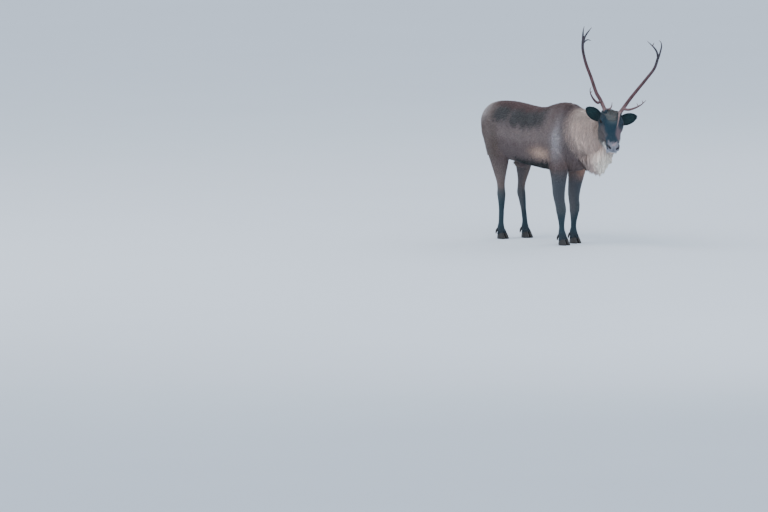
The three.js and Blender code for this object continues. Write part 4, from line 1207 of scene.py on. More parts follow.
# Roots scattered over the skin: triangles drawn by area times weight, each with a point at random in it
def scatter(count, weightOf, allowed, draw):
    triangles = skinTriangles[allowed[skinTriangles].all(1)]
    corners = skinPoints[triangles]
    area = np.linalg.norm(np.cross(corners[:, 1] - corners[:, 0], corners[:, 2] - corners[:, 0]), axis=1)
    weight = np.cumsum(area * weightOf(corners.mean(1)))
    pick = np.searchsorted(weight, (np.arange(count) + draw.random(count)) / count * weight[-1])
    pick = np.minimum(pick, len(triangles) - 1)
    a, b = draw.random((2, count, 1))
    fold = a + b > 1
    a, b = np.where(fold, 1 - a, a), np.where(fold, 1 - b, b)
    chosen, normals = corners[pick], skinNormals[triangles[pick]]
    mix = lambda values: values[:, 0] * (1 - a - b) + values[:, 1] * a + values[:, 2] * b
    return mix(chosen), unit(mix(normals))


tuftPatch = (0.0012, 0.0026)  # half the width of a tuft's patch on the map, and its length


# Tufts: a flat three-cornered section carried along each bent middle line and drawn to a point at its tip.
# Its ridge faces outward. Each tuft runs from the colour of its root to that of its tip, with painted shade
# towards the root and painted light towards the tip, and has its own small patch of the map
def tuftPiece(name, middles, outwards, widths, thick, tints, tipTints, rootPlaces, shades, material):
    count, stations = widths.shape
    direction = unit(np.gradient(middles, axis=1))[:, :stations]
    across = unit(np.cross(direction, outwards))
    half = across * widths[..., None] / 2
    ridge = np.cross(across, direction) * (widths * thick)[..., None]
    rings = middles[:, :stations]
    corners = np.stack([rings + half - 0.3 * ridge, rings + 0.7 * ridge, rings - half - 0.3 * ridge], 2)
    points = np.concatenate([corners.reshape(count, stations * 3, 3), middles[:, -1:]], 1)
    size = stations * 3 + 1  # points of a tuft
    k = np.arange(3)
    ring = np.arange(stations - 1)[:, None] * 3
    quads = np.stack([ring + k, ring + (k + 1) % 3, ring + 3 + (k + 1) % 3, ring + 3 + k], -1).reshape(-1, 4)
    top = (stations - 1) * 3
    ends = np.stack([top + k, top + (k + 1) % 3, np.full(3, size - 1)], -1)
    ends = np.concatenate([ends, [[2, 1, 0]]])
    starts = np.arange(count)[:, None, None] * size
    faces = [(quads + starts).reshape(-1, 4), (ends + starts).reshape(-1, 3)]
    allPoints = points.reshape(-1, 3)
    faces = outward(allPoints, faces)
    piece = newPiece(name, allPoints, faces, material)
    t = np.append(np.repeat(np.linspace(0, 1, stations + 1)[:-1], 3), 1)
    # painted shade towards the root and painted light towards the tip
    shade = np.interp(t, np.linspace(0, 1, len(shades)), shades)
    tipShare = t[None, :, None]
    painted = tints[:, None, :] * (1 - tipShare) + tipTints[:, None, :] * tipShare
    setTint(piece, (painted * shade[None, :, None]).reshape(-1, 3))
    acrossMap = np.append(np.tile([-1.0, 0.0, 1.0], stations), 0)
    patch = np.stack([acrossMap * tuftPatch[0], (t - 0.5) * tuftPatch[1]], -1)
    spots = (rootPlaces[:, None, :] + patch).reshape(-1, 2)
    corner = np.concatenate([face.ravel() for face in faces])
    layer = piece.data.uv_layers.new(name="OFBake")
    layer.uv.foreach_set("vector", spots[corner].astype(np.float32).ravel())
    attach(piece, "root")
    print(name, len(faces[0]) * 2 + len(faces[1]), "triangles")
    return piece


# An unwrap of the skin's own shape, tile by tile: along each part, and round it
def unwrap(points, parts):
    x, y, z = points.T
    places = np.zeros((len(points), 2))
    angle = np.arctan2(z - readTable(trunk, x)["middle"], y - neckBow(x))
    places[:, 0], places[:, 1] = (x + 880) / 1450, (angle / (2 * np.pi)) % 1
    for k, (name, leg) in enumerate(legs.items()):
        mine = parts == part[name]
        middle, _ = legMiddle(leg, np.clip(z[mine], *legRange))
        angle = np.arctan2(y[mine] - middle[:, 1], x[mine] - middle[:, 0]) / (2 * np.pi) % 1
        places[mine, 0], places[mine, 1] = (k + angle * 0.96) / 4, z[mine] / 700
    mine = parts == part["head"]
    a, b, c = toHead(points[mine]).T
    places[mine, 0] = (a + 100) / 440 * 0.58
    places[mine, 1] = (np.arctan2(c + 70, b) / (2 * np.pi)) % 1
    for start, (side, name) in zip((0.62, 0.82), earNames.items()):
        mine = parts == part[name]
        at, across, depth = earPlace(points[mine], side)
        places[mine, 0] = start + 0.17 * np.clip(at, 0, 1)
        places[mine, 1] = (np.arctan2(depth + 8, across) / (2 * np.pi)) % 1
    return 0.004 + 0.992 * np.clip(places, 0, 1)


# The lie of the coat: back along the body and down the flanks, legs and neck, up the face from the nose,
# and off each ear's root. Every hair strays by some degrees, and neighbours sway together
def lieOf(points, normals, parts, draw):
    x, y, z = points.T
    height = trunkHeight(x, z)
    down = 0.25 + 0.75 * ramp(1 - height, 0.1, 0.6) * ramp(height, 0.0, 0.12)
    down = down + 1.6 * (1 - ramp(x, -840, -700)) + 1.0 * ramp(x, -60, 60)
    lie = np.stack([-np.ones_like(x), 0.25 * np.sign(y), -down], -1)
    for name in legs:
        mine = parts == part[name]
        high = z[mine][:, None]
        lie[mine] = (-0.22, 0.0, -1.0) + ramp(high, 500, 620) * np.array([-0.5, 0, 0])
        lie[mine] = np.where(high < 75, np.array([0.55, 0.0, -1.0]), lie[mine])
    lie[parts == part["tail"]] = (0.0, 0.0, -1.0)
    lie[(parts == part["neck"]) | (parts == part["mane"])] = (-0.25, 0.0, -1.0)
    mine = parts == part["head"]
    place = toHead(points[mine])
    a, b, c = place.T
    toSide = 0.25 * np.sign(b) * ramp(np.abs(b), 5, 40)
    upFace = np.stack([-np.ones_like(a), toSide, -0.25 * ramp(np.abs(b), 30, 60)], -1)
    lips = ramp(a, 285, 305) * ramp(-c, 66, 80)
    inHead = towards(upFace, lips, np.array([0.4, 0, -1.0]))
    inHead = towards(inHead, capShare(place), np.stack([np.ones_like(a), 0.012 * b, np.zeros_like(a)], -1))
    inHead = towards(inHead, ramp(-c, 96, 120), np.array([-0.35, 0, -0.9]))
    lie[mine] = inHead @ headAxes
    for side, name in earNames.items():
        lie[parts == part[name]] = earAxes(side)[1]
    lie = unit(lie - normals * (lie * normals).sum(-1, keepdims=True))
    sway = np.radians(13 * ripple(points, 45, 0.6) + draw.normal(0, 9, len(points)))[:, None]
    return lie * np.cos(sway) + np.cross(normals, lie) * np.sin(sway)


# Short tufts: from a root sunk in the skin, rising by their lift and bending back along the coat
def shortTufts(name, count, weightOf, allowed, lengthOf, settings, seed, material):
    draw = np.random.default_rng(seed)
    roots, normals = scatter(count, weightOf, allowed, draw)
    parts = partOf(roots)
    lie = lieOf(roots, normals, parts, draw)
    lengths = (lengthOf(roots, parts) * draw.uniform(0.75, 1.2, count))[:, None]
    across = np.cross(lie, normals)
    stations = settings["stations"]
    t = np.linspace(0, 1, stations + 1)[None, :, None]
    lift = np.tan(np.radians(settings["lift"] * draw.uniform(0.7, 1.35, count)))[:, None, None]
    bend = draw.normal(0, 0.1, count)[:, None, None]
    height = lengths[..., None] * (lift * t - settings["press"] * lift * t**2)
    middles = (
        roots[:, None]
        + lie[:, None] * lengths[..., None] * t
        + normals[:, None] * (height - settings["sink"])
        + across[:, None] * lengths[..., None] * bend * t**2
        - up * lengths[..., None] * settings.get("sag", 0) * t**2
    )
    profile = np.interp(np.linspace(0, 1, stations + 1)[:-1], [0, 0.35, 1], [0.8, 1.0, 0.15])
    widths = settings["width"] * draw.uniform(0.75, 1.25, count)[:, None] * profile[None]
    widths = widths * (lengths / settings["length"]) ** 0.5
    strayed = roots + draw.normal(0, settings["stray"], (count, 3))
    tints = markings(strayed, parts)
    tints = tints * (1 + draw.normal(0, settings["vary"], (count, 1)) + draw.normal(0, 0.02, (count, 3)))
    tints = np.maximum(tints, 0.002)
    outwards = (normals + 0.01 * lie)[:, None]
    places = unwrap(roots, parts)
    thick, shades = settings["thick"], settings["shades"]
    piece = tuftPiece(name, middles, outwards, widths, thick, tints, tints, places, shades, material)
    return piece


def evenly(points):
    return np.ones(len(points))


bodyTufts = {
    "length": 24, "width": 4.6, "thick": 0.34, "lift": 24, "press": 0.62, "sink": 2.5,
    "stations": 2, "vary": 0.1, "stray": 9, "shades": (0.7, 1.0, 1.14),
}
hairBody = hairMaterial("bodyHair", 210, (0.5, 1, 1), 0.8)


# The hair of the trunk is longer at the belly, at the rear and before the neck
def bodyLength(points, parts):
    x, _, z = points.T
    longer = 10 * (1 - ramp(trunkHeight(x, z), 0.0, 0.25)) + 8 * (1 - ramp(x, -860, -800))
    return bodyTufts["length"] + (longer + 10 * ramp(beforeNeckBase(x, z), -60, 0))


# Short hair also covers the strip of the neck before the ruff, and the throat under the jaw
beforeRuff = (skinParts == part["neck"]) & (beforePaleEdge(skinPoints) < 26)
underJaw = (skinParts == part["neck"]) & headShare(skinPoints, 45) & (skinPoints[:, 2] < 850)
trunkAllowed = (skinParts == part["trunk"]) | (skinParts == part["tail"]) | beforeRuff | underJaw
share = 1.0  # of all the tufts
trunkCoats = {"coat_rump": (-900, -520, 11), "coat_flank": (-530, -150, 12), "coat_shoulder": (-160, 320, 13)}
for name, (low, high, seed) in trunkCoats.items():
    allowed = trunkAllowed & (skinPoints[:, 0] > low) & (skinPoints[:, 0] < high)
    count = int(17500 * share)
    shortTufts(name, count, evenly, allowed, bodyLength, bodyTufts, seed, hairBody)

legTufts = {
    "length": 15, "width": 3.3, "thick": 0.34, "lift": 15, "press": 0.6, "sink": 1.6,
    "stations": 2, "vary": 0.1, "stray": 7, "shades": (0.75, 1.0, 1.12),
}


# Longer above the joint and over the hoof
def legLength(points, parts):
    z = points[:, 2]
    return 11 + 12 * ramp(z, 420, 600) + 12 * np.exp(-(((z - 60) / 22) ** 2))


def legWeight(points):
    return 1.0 + 0.6 * (1 - ramp(points[:, 2], 90, 200))


legAllowed = np.isin(skinParts, [part[name] for name in legs]) & (skinPoints[:, 2] > 30)
count = int(19500 * share)
shortTufts("coat_legs", count, legWeight, legAllowed, legLength, legTufts, 14, hairBody)

faceTufts = {
    "length": 8, "width": 2.1, "thick": 0.3, "lift": 22, "press": 0.55, "sink": 0.6,
    "stations": 2, "vary": 0.1, "stray": 2.5, "shades": (0.8, 1.0, 1.1),
}
hairFace = hairMaterial("faceHair", 420, (1, 1, 1), 0.78)


# Longer on the cheeks, along the jaw and in the tuft of the forehead, and shorter on the muzzle
def faceLength(points, parts):
    place = toHead(points)
    a, b, c = place.T
    length = 6.5 + 8 * ramp(np.abs(b), 45, 80) * (1 - ramp(a, 190, 250))
    length = length + 9 * ramp(-c, 100, 124) * (1 - ramp(a, 280, 300)) + 14 * capShare(place)
    length = length * (1 - 0.45 * ramp(a, 275, 300) * ramp(c, -95, -85))
    return np.where(np.isin(parts, earParts), 8.0, length)


# Denser towards the nose, and none in the nostrils, the mouth and the eyes
def faceWeight(points):
    mirrored = onLeftHalf(points)
    hole = distanceToLine(mirrored, [nostril["start"], nostril["end"]])
    clear = ramp(hole, 6, 10) * ramp(fromMouth(mirrored), 2.5, 5)
    eyeClear = ramp(np.linalg.norm(mirrored - eyeMiddle(1), axis=1), 20.5, 23)
    return clear * eyeClear * (0.8 + 0.9 * ramp(toHead(points)[:, 0], 150, 300))


faceAllowed = np.isin(skinParts, [part["head"], *earParts])
count = int(19500 * share)
shortTufts("coat_face", count, faceWeight, faceAllowed, faceLength, faceTufts, 15, hairFace)

# Longer hair hangs from the sides and the underside of the jaw
jawTufts = {
    "length": 30, "width": 3.6, "thick": 0.34, "lift": 30, "press": 0.4, "sink": 1.0, "sag": 0.75,
    "stations": 3, "vary": 0.1, "stray": 5, "shades": (0.78, 1.0, 1.06, 1.14),
}


# Longest under the chin and along the lower edge of the jaw
def jawLength(points, parts):
    place = toHead(points)
    a, _, c = place.T
    length = 14 + 26 * ramp(-c, 104, 142) * (1 - ramp(a, 245, 300))
    length = length + 12 * bell(place[:, ::2], (175, -130), (60, 40))
    return length + 32 * bell(place, (236, 0, -136), (44, 34, 26))


jawPlace = toHead(skinPoints)
jawAllowed = (jawPlace[:, 2] < -98) & (jawPlace[:, 0] > 15) & (jawPlace[:, 0] < 306)
jawAllowed = jawAllowed & (skinParts == part["head"])
shortTufts("coat_jaw", int(3600 * share), evenly, jawAllowed, jawLength, jawTufts, 16, hairFace)

# The ruff: long strands that start at the skin of the neck and fall down its side, gathered into waving locks
ruff = {
    "strands": 8600, "stations": 4, "length": 112, "width": 3.9, "thick": 0.4, "lock": 24, "gather": 0.6,
    "wave": 5.0, "waveLength": 85,
    "shades": (0.7, 0.94, 1.0, 1.05, 1.08),
}
hairNeck = hairMaterial("neckHair", 180, (1, 1, 0.3), 0.72)
# The mane's copy of the neck's hair darkens less in its grain: painted light on the mane's shaded underside
litManeHair = hairMaterial("maneHairPaintedLight", 180, (1, 1, 0.3), 0.72, 0.96)


# Each strand starts at a place along the neck and down its side. It falls by its length over the girth, is
# pulled to the middle of its lock, waves, and rises from the skin to the tips of the hair
def ruffStrands(name, side, seed):
    draw = np.random.default_rng(seed)
    count = int(ruff["strands"] * share)
    wanted = count * 3
    x = draw.uniform(80, 534, wanted)
    fall = draw.uniform(-8, 158, wanted)  # degrees from the top line down the side
    root = coatPoint(x, np.radians(90 - side * fall), skinDepth)
    keep = (beforePaleEdge(root) > -6 + 14 * ripple(root, 50)) & ~headShare(root, -6)
    x, fall, root = x[keep][:count], fall[keep][:count], root[keep][:count]
    count = len(x)
    lockId = np.round((x + 6 * np.sin(fall / 17)) / ruff["lock"])
    lockX = lockId * ruff["lock"] - 6 * np.sin(fall / 17)
    pull = (lockX - x) * ruff["gather"]
    row = readTable(trunk, x)
    girth = (row["half"] + (row["top"] - row["bottom"]) / 2) / 2
    nearHead = ramp(x, 430, 520)
    length = ruff["length"] * draw.uniform(0.75, 1.2, count) * (1 - 0.35 * nearHead)
    span = np.degrees(length / girth)
    t = np.linspace(0, 1, ruff["stations"] + 1)[None, :]
    sweep = draw.uniform(-26, -10, count)[:, None]
    phase = (lockId * 2.4 + fall / 40)[:, None]
    wave = ruff["wave"] * np.sin(2 * np.pi * t * length[:, None] / ruff["waveLength"] + phase) * t
    along = np.clip(x[:, None] + sweep * t + pull[:, None] * t**1.4 + wave, 60, 536)
    lower = np.clip(fall[:, None] + span[:, None] * t, -20, 186)
    free = (draw.uniform(0, 1, count) ** 1.5)[:, None]
    lockRise = 3.0 * np.cos(2 * np.pi * (x / ruff["lock"] - lockId))[:, None]
    laid = 5 * (1 - ramp(beforePaleEdge(root), 0, 90))[:, None]
    risen = t**0.75
    tipDepth = 1 + 9 * free - lockRise + laid
    depth = lambda px, pz: (hairDepth(px, pz) + shortCoat["depth"] + 3) * (1 - risen) + tipDepth * risen
    turn = np.radians(90 - side * lower)
    middles = coatPoint(along, turn, depth)
    outwards = unit(middles - coatPoint(along, turn, lambda px, pz: 60.0 + 0 * px))
    s = ruff["stations"]
    profile = np.interp(np.linspace(0, 1, s + 1)[:-1], [0, 0.3, 0.7, 1], [0.75, 1.0, 0.8, 0.2])
    widths = ruff["width"] * draw.uniform(0.7, 1.25, count)[:, None] * profile[None]
    parts = np.full(count, part["neck"])
    lockTone = np.sin(lockId * 12.9898 + np.round(fall / 45) * 4.1) * 0.08
    # strands whose tips lie deeper are darker, as painted shade
    tone = 1 + lockTone + draw.normal(0, 0.07, count) - 0.08 * free[:, 0]
    stray = draw.normal(0, (14, 8, 14), (count, 3))
    tints = markings(middles[:, 1] + stray, parts) * tone[:, None]
    tipTints = markings(middles[:, -1] + stray, parts) * tone[:, None]
    tips = middles[:, -1]
    clear = ~headShare(middles[:, 2], 1) & ~headShare(tips, 2)
    for earSide in (-1, 1):
        clear &= ~onEar(middles[:, 2], earSide, 3) & ~onEar(tips, earSide, 3)
    middles, outwards, widths, tints, tipTints = (
        values[clear] for values in (middles, outwards[:, :s], widths, tints, tipTints)
    )
    places = unwrap(root[clear], parts[clear])
    thick, shades = ruff["thick"], ruff["shades"]
    piece = tuftPiece(name, middles, outwards, widths, thick, tints, tipTints, places, shades, hairNeck)
    return piece


ruffStrands("coat_neck_right", -1, 21)
ruffStrands("coat_neck_left", 1, 22)

# The throat mane: strands that hang from the underside of the neck, longest in the middle
mane = {
    "strands": 8400, "stations": 4, "width": 3.9, "thick": 0.4, "lock": 22, "gather": 0.7, "wave": 4.0,
    # the mane's shades are lighter than the ruff's, as painted light on its shaded underside
    "shades": (0.84, 1.0, 1.06, 1.1, 1.12),
}


# The mane pales towards its tips and its front, with a brown wedge behind deepened by painted shade, and
# painted shade under the chin
def maneColour(points):
    x, _, z = points.T
    row = readTable(maneMass, x)
    down = ramp((row["middle"] - z) / (row["middle"] - row["bottom"]), 0.2, 0.85)
    # brown hair darkened by painted shade at the rear of the mane
    brownShadeWedge = np.maximum(bell(points, (300, -70, 648), (38, 60, 66)), 1 - ramp(x, 236, 284))
    layers = [
        (0.45 + 0.55 * down, "mane"),
        (down * ramp(x, 330, 430), "maneTip"),
        # painted shade on the mane under the chin
        (0.9 * bell(points, (545, -25, 705), (38, 80, 46)), "neckEdge"),
        (0.95 * brownShadeWedge, "brownShadeWedge"),
    ]
    return layered(len(points), "neck", layers)


# Each strand hangs in a file, from -1 at the right to 1 at the left. It falls from inside the neck to the
# lower line of the mane, spread by a superellipse that narrows downward, pulled to its lock as it waves
def maneStrands(name, seed):
    draw = np.random.default_rng(seed)
    count = int(mane["strands"] * share)
    x = draw.uniform(232, 548, count)
    file = draw.uniform(-1, 1, count)
    lockX = np.round(x / mane["lock"]) * mane["lock"] + 5 * np.sin(np.round(file * 4) * 2.2)
    lockFile = np.round(file * 4) / 4
    row = readTable(maneMass, x)
    edge = np.abs(file)
    inner = draw.uniform(0, 1, count) ** 2
    top = row["middle"] - np.interp(edge, [0, 0.6, 1], [90, 60, 10]) - 30 * draw.uniform(0, 1, count)
    rise = np.interp(edge, [0, 0.6, 1], [0, 14, 70]) + draw.uniform(-6, 16, count) + 60 * inner
    rise = rise + 7 * np.sin(np.round(x / mane["lock"]) * 2.7 + lockFile * 5)
    low = np.minimum(row["bottom"] + rise, top - 60)
    t = np.linspace(0, 1, mane["stations"] + 1)[None, :]
    z = top[:, None] + (low - top)[:, None] * t
    shareDown = np.clip((row["middle"][:, None] - z) / (row["middle"] - row["bottom"])[:, None], 0, 1)
    spread = row["half"][:, None] * (1 - shareDown**1.5) ** (1 / 1.5)
    spread = spread * (0.7 + 0.28 * np.minimum(t * 1.6, 1)) * (1 - 0.3 * inner[:, None])
    fileNow = file[:, None] + (lockFile - file)[:, None] * mane["gather"] * t**1.3
    phase = (np.round(x / mane["lock"]) * 2.1 + lockFile * 7)[:, None]
    wave = mane["wave"] * np.sin(2 * np.pi * t * 1.4 + phase) * t
    along = x[:, None] + (lockX - x)[:, None] * mane["gather"] * t**1.3
    along = along + draw.uniform(-14, 2, count)[:, None] * t + wave
    y = neckBow(x)[:, None] + fileNow * spread + 0.6 * wave
    middles = np.stack([along, y, z], -1)
    clear = ~headShare(middles[:, 1], 0) & ~headShare(middles[:, 3], 2) & ~headShare(middles[:, -1], 3)
    middles, file, x, inner = middles[clear], file[clear], x[clear], inner[clear]
    lockFile, lockX = lockFile[clear], lockX[clear]
    count = len(middles)
    outwards = unit(np.stack([0.25 * np.ones(count), np.sign(file + 0.001), 0 * file], -1))[:, None]
    s = mane["stations"]
    profile = np.interp(np.linspace(0, 1, s + 1)[:-1], [0, 0.3, 0.7, 1], [0.8, 1.0, 0.75, 0.2])
    widths = mane["width"] * draw.uniform(0.7, 1.25, count)[:, None] * profile[None]
    # the inner strands are darker, as painted shade inside the mane
    tone = 1 + 0.09 * np.sin(lockX * 5.1 + lockFile * 9) + draw.normal(0, 0.07, count) - 0.15 * inner
    stray = draw.normal(0, (9, 8, 12), (count, 3))
    tints, tipTints = (maneColour(middles[:, k] + stray) * tone[:, None] for k in (1, -1))
    places = np.clip(np.stack([(x - 200) / 370, 0.5 + 0.46 * file], -1), 0.01, 0.99)
    thick, shades = mane["thick"], mane["shades"]
    piece = tuftPiece(name, middles, outwards, widths, thick, tints, tipTints, places, shades, litManeHair)
    return piece


maneStrands("coat_mane", 23)

# Antlers: tubes along named points, with a burr at the root, melted together. Each tine has its radius first
antlers = {
    "right": {
        "beam": [
            (6, -50, -26), (-6, -57, 6), (-60, -79, 78), (-100, -101, 130),
            (-150, -129, 240), (-165, -166, 347), (-145, -194, 449), (-112, -202, 526),
        ],
        "brow": (8, [(-8, -56, 10), (12, -34, 14), (20, -14, 30), (22, -8, 68)]),
        "bez_nub": (3.6, [(84, -188, 144), (84, -176, 158), (82, -166, 168)]),
        "bez": (11, [
            (-52, -78, 66), (-14, -112, 62), (30, -150, 90),
            (78, -186, 138), (106, -196, 176), (118, -186, 196),
        ]),
        "crown_front": (9, [(-116, -200, 510), (-88, -186, 560), (-60, -168, 596), (-30, -150, 628)]),
        "crown_rear": (7.5, [(-118, -200, 496), (-124, -182, 515), (-138, -156, 524), (-152, -126, 514)]),
        "crown_top": (9, [(-116, -201, 520), (-104, -203, 560), (-90, -203, 600), (-78, -198, 634)]),
    },
    "left": {
        "beam": [
            (6, 40, -44), (-6, 56, -22), (-42, 102, 26), (-92, 158, 80),
            (-138, 231, 150), (-164, 306, 228), (-160, 360, 300), (-128, 380, 382),
        ],
        "brow": (10, [(-6, 56, -22), (34, 46, -16), (84, 30, -36), (128, 12, -78), (152, -4, -118)]),
        "bez": (10, [
            (-30, 86, 10), (20, 122, 8), (66, 162, 26),
            (104, 194, 50), (132, 218, 78), (140, 226, 92),
        ]),
        "bez_point": (4.5, [(84, 178, 36), (81, 172, 51), (78, 166, 66)]),
        "bez_nub": (4.5, [(118, 206, 62), (118, 202, 75), (118, 198, 88)]),
        "crown_point": (4.5, [(-66, 322, 474), (-62, 329, 490), (-58, 336, 506)]),
        "crown_front": (9, [
            (-132, 380, 366), (-108, 368, 418), (-84, 342, 456),
            (-56, 308, 486), (-30, 270, 518),
        ]),
        "crown_rear": (9, [
            (-130, 381, 372), (-124, 396, 424), (-120, 405, 470),
            (-112, 396, 500), (-100, 376, 514),
        ]),
    },
}
nubs = ("bez_point", "bez_nub", "crown_point")  # short points that belong to the node of their tine
antlerLook = {"voxel": 2.0, "grooves": 9, "grooveDepth": 0.05, "flat": 0.88}
antlerColours = {
    "base": light(110, 86, 86),
    "beam": light(72, 44, 48),
    "upper": light(52, 46, 54),
    "tip": light(120, 102, 100),
}


# Radius along the beam: tapering, with a swollen burr near the skull, and grooves as waves round the section
def beamRadii(t, angle):
    radius = 15.5 - 5 * t**0.8 + 5 * np.exp(-(((t - 0.045) / 0.02) ** 2))
    radius = radius * (1 - ramp(t, 0.985, 1.0) * 0.5) * (0.5 + 0.5 * ramp(t, -0.01, 0.032))
    burr = np.exp(-(((t - 0.045) / 0.018) ** 2)) * 1.4 * np.sin(11 * angle + 40 * t)
    return radius * (1 + antlerLook["grooveDepth"] * np.sin(antlerLook["grooves"] * angle + 9 * t)) + burr


# Radius along a tine: from that of its root to a fifth of it, with low waves round the section
def tineRadii(root, t, angle):
    return root * (1 - 0.8 * t**1.6) * (1 + 0.04 * np.sin(6 * angle + 7 * t)) * (1 - 0.6 * ramp(t, 0.96, 1.0))


def antlerPiece(side):
    shells, lines = [], []
    for name, form in antlers[side].items():
        path = fromHead(form if name == "beam" else form[1], levelAxes)
        count = 150 if name == "beam" else 50
        points = smoothPath(path, count)
        t = np.linspace(0, 1, count)[:, None]
        angle = turns(32)[None, :]
        radii = beamRadii(t, angle) if name == "beam" else tineRadii(form[0], t, angle)
        reference = unit(np.cross(points[-1] - points[0], up) + 0.3 * up)
        shells.append(ringShell(tubeGrid(points, radii, reference, antlerLook["flat"])))
        lines.append((name, points))
    piece = melted(f"antler_{side}", shells, antlerLook["voxel"], 3)
    points = readMesh(piece)[0]
    beam = lines[0][1]
    height = points[:, 2]
    streak = ripple(points * (1, 1, 0.22), 7, 0.9)
    low, high = beam[:, 2].min(), beam[:, 2].max()
    layers = [
        (1 - ramp(height, low + 10, low + 120), "base"),
        (ramp(height, low + 0.55 * (high - low), high), "upper"),
    ]
    for name, line in lines[1:]:
        layers.append((0.8 * np.exp(-((np.linalg.norm(points - line[-1], axis=1) / 30) ** 2)), "tip"))
        if name == "brow" and side == "left":
            layers.append((0.5 * (1 - ramp(distanceToLine(points, line[::6]), 10, 16)), "tip"))
    colours = layered(len(points), "beam", layers, antlerColours) * (1 + 0.24 * streak)[:, None]
    hairy = 1 - ramp(np.linalg.norm(points - beam[0], axis=1) + 6 * streak, 30, 42)
    setTint(piece, towards(colours, hairy, 0.5 * coatColours["face"]))
    piece.data.materials.append(antlerMaterial)
    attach(piece, "root")
    names = ["base", *[name for name in antlers[side] if name not in nubs]]
    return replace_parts(piece, *[f"antler_{side}_{name}" for name in names])


antlerMaterial, nodes, links, shader = newMaterial("antlerBone", 0.6, **{"Specular IOR Level": 0.35})
coarse = objectNoise(nodes, links, 45, (1, 1, 0.35))
tinted(nodes, links, shader, coarse, 0.78, 1.2)
links.new(mapRange(nodes, links, coarse, 0.72, 0.5), shader.inputs["Roughness"])
addBump(nodes, links, shader, objectNoise(nodes, links, 260, (1, 1, 0.2)), 0.5, 0.0015)
for side in antlers:
    antlerPiece(side)
print("antlers made")

# Hooves: a toe of horn from its sole to the slanting coronet, with low rings, and the small claws behind
hoofMaterial, nodes, links, shader = newMaterial("horn", 0.42, **{"Specular IOR Level": 0.4})
tinted(nodes, links, shader, objectNoise(nodes, links, 90, (0.4, 0.4, 2.5)), 0.6, 1.5)
addBump(nodes, links, shader, objectNoise(nodes, links, 160, (0.3, 0.3, 3.0)), 0.4, 0.001)
hoofColour = light(30, 27, 27)


# The horn ends at the slanting coronet: rings at heights spread evenly from the sole to that plane
def hornShell(leg, away):
    highest, levels = 80, 33
    base = toeGrid(leg, away, np.zeros(1), 0.0, 48)
    aheadOf, height, slope = toe["coronet"]
    grids = []
    top = height + slope * (base[0, :, 0] - leg["hoofX"] - aheadOf)
    column = np.arange(48)
    for s in np.linspace(0, 1, 18):
        rings = toeGrid(leg, away, np.linspace(0, highest, levels), 0.25 * np.sin(26 * s), 48)
        index = np.clip(np.clip(top * s, 0, highest) / highest * (levels - 1), 0, levels - 1.001)
        low = index.astype(int)
        between = (index - low)[:, None]
        grids.append(rings[low, column] * (1 - between) + rings[low + 1, column] * between)
    grid = np.stack(grids)
    lip = grid[-1:] + (0, 0, 2.0)
    middle = lip.mean(1, keepdims=True)
    return ringShell(np.concatenate([grid, middle + (lip - middle) * 0.86], 0))


# A blunt tapering horn along a bent line behind the pastern
def dewclawShell(leg, away):
    footY = leg["side"] * leg["form"]["rows"][0][2]
    path = [(-10, 10, 82), (-25, 16, 68), (-33, 19, 51), (-35, 20, 34)]
    points = smoothPath([(leg["hoofX"] + x, footY + away * y, z) for x, y, z in path], 20)
    t = np.linspace(0, 1, 20)[:, None]
    radii = (10 - 7 * t**2.2) * (1 + 0.03 * np.sin(30 * t)) * (1 - 0.5 * ramp(t, 0.93, 1)) * np.ones((1, 20))
    return ringShell(tubeGrid(points, radii, np.array([0.0, 1.0, 0.0])))


for name, leg in legs.items():
    shells = [make(leg, away) for away in (1, -1) for make in (hornShell, dewclawShell)]
    piece = newPiece(f"hooves_{name}", *joinShells(shells), hoofMaterial)
    setTint(piece, np.broadcast_to(hoofColour, (len(piece.data.vertices), 3)))
    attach(piece, "root")
    kinds = ("hoof_inner", "hoof_outer", "dewclaw_inner", "dewclaw_outer")
    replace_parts(piece, *[f"{name}_{kind}" for kind in kinds])
print("hooves made")

# Eyes: a ball with a low bulge in front, a dark brown ring and a long level pupil
wetLook = {"Specular IOR Level": 0.06, "Coat Weight": 0.14, "Coat Roughness": 0.03}
eyeMaterial, nodes, links, shader = newMaterial("wetEye", 0.16, **wetLook)
tinted(nodes, links, shader, objectNoise(nodes, links, 900), 0.8, 1.2)
eyeColours = {"iris": light(24, 20, 18), "pupil": light(3, 3, 4), "white": light(30, 24, 23)}


# Rings round the way the eye looks, at its radius plus a bell in front for the cornea
def eyePiece(side, name):
    gaze, front, above = eyeAxes(side)
    lean = np.linspace(0.01, np.pi - 0.01, 60)[:, None]
    angle = turns(64)[None, :]
    radius = eye["radius"] * (0.985 + 0.045 * np.exp(-((lean / 0.5) ** 2)))
    around = np.sin(lean)
    ball = np.stack([around * np.cos(angle), around * np.sin(angle), np.cos(lean) + 0 * angle], -1)
    grid = eyeMiddle(side) + radius[..., None] * (ball @ np.stack([front, above, gaze]))
    piece = newPiece(name, *joinShells([ringShell(fromHead(grid))]), eyeMaterial)
    long, tall, out = ball.reshape(-1, 3).T
    layers = [
        ((1 - ramp(np.hypot(long, tall), 0.62, 0.7)) * (out > 0), "iris"),
        ((1 - ramp(np.hypot(long / 0.36, tall / 0.2), 0.9, 1.1)) * (out > 0), "pupil"),
    ]
    colours = layered(len(long), "white", layers, eyeColours)
    setTint(piece, np.concatenate([colours, [eyeColours["pupil"], eyeColours["white"]]]))
    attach(piece, "root")
    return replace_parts(piece, name.replace("eyeball", "eye"))


eyePiece(-1, "eyeball_right")
eyePiece(1, "eyeball_left")
print("eyes made")

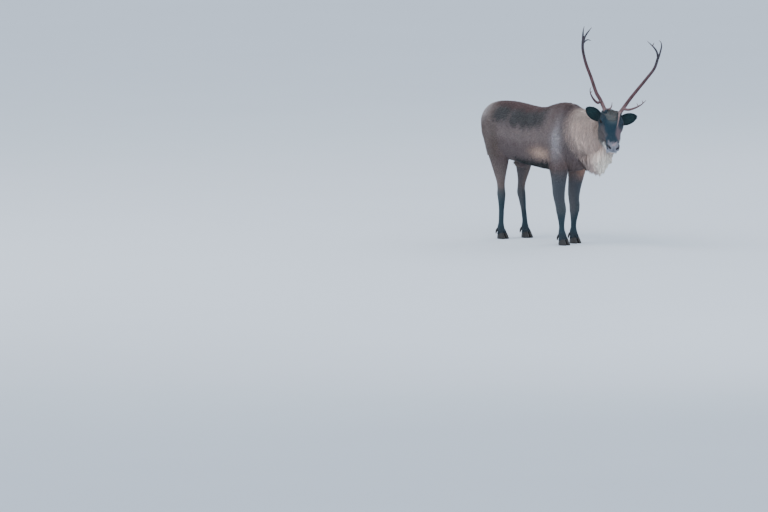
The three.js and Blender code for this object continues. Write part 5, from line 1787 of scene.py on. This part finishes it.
# Floor, light and camera
floorSettings = {"size": 400.0, "colour": light(206, 212, 220)}  # metres
floorMaterial, nodes, links, shader = newMaterial("paleFloor", 0.9)
mix = nodes.new("ShaderNodeMix")
mix.data_type = "RGBA"
mix.inputs["A"].default_value = (*floorSettings["colour"], 1)
mix.inputs["B"].default_value = (*(floorSettings["colour"] * 0.96), 1)
links.new(objectNoise(nodes, links, 0.8), mix.inputs["Factor"])
links.new(mix.outputs["Result"], shader.inputs["Base Color"])
s = floorSettings["size"] / 2
floorMesh = bpy.data.meshes.new("floor")
floorMesh.from_pydata([(-s, -s, 0), (s, -s, 0), (s, s, 0), (-s, s, 0)], [], [(0, 1, 2, 3)])
floorMesh.materials.append(floorMaterial)
floor = bpy.data.objects.new("floor", floorMesh)
bpy.context.scene.collection.objects.link(floor)

lights = {
    "key": {"at": (-3.5, -7.0, 9.0), "size": 8.0, "power": 620, "colour": (1.0, 0.985, 0.96)},
    "fill": {"at": (8.0, -3.0, 6.0), "size": 8.0, "power": 260, "colour": (0.95, 0.97, 1.0)},
    "back": {"at": (-1.0, 8.0, 7.0), "size": 7.0, "power": 260, "colour": (0.97, 0.98, 1.0)},
}
for name, lamp in lights.items():
    data = bpy.data.lights.new(name, "AREA")
    data.shape, data.size, data.energy, data.color = "DISK", lamp["size"], lamp["power"], lamp["colour"]
    obj = bpy.data.objects.new(name, data)
    obj.location = lamp["at"]
    obj.rotation_euler = (Vector((0, 0, 0.8)) - obj.location).to_track_quat("-Z", "Y").to_euler()
    bpy.context.scene.collection.objects.link(obj)
world = bpy.data.worlds.new("overcast")
world.use_nodes = True
world.node_tree.nodes["Background"].inputs["Color"].default_value = (0.76, 0.87, 1.0, 1)
world.node_tree.nodes["Background"].inputs["Strength"].default_value = 1.45
bpy.context.scene.world = world

# The camera looks at a point to the right of and below the withers, from a long way off
view = {
    "azimuth": 50.0, "elevation": 5.5, "distance": 120.0, "frameWidth": 5.76,
    "right": -1362.8, "above": -92.0,
}
azimuth, elevation = np.radians(view["azimuth"]), np.radians(view["elevation"])
level = np.cos(elevation)
rightward = np.array([np.cos(azimuth), np.sin(azimuth), 0])
towardsCamera = np.array([np.sin(azimuth) * level, -np.cos(azimuth) * level, np.sin(elevation)])
upInView = np.cross(towardsCamera, rightward)
target = inMetres(view["right"] * rightward + view["above"] * upInView)
cameraData = bpy.data.cameras.new("camera")
cameraData.sensor_width = 36
cameraData.lens = 36 * view["distance"] / view["frameWidth"]
cameraData.clip_end = 1000
camera = bpy.data.objects.new("camera", cameraData)
camera.location = target + view["distance"] * towardsCamera
camera.rotation_euler = Vector(towardsCamera).to_track_quat("Z", "Y").to_euler()
bpy.context.scene.collection.objects.link(camera)
bpy.context.scene.camera = camera
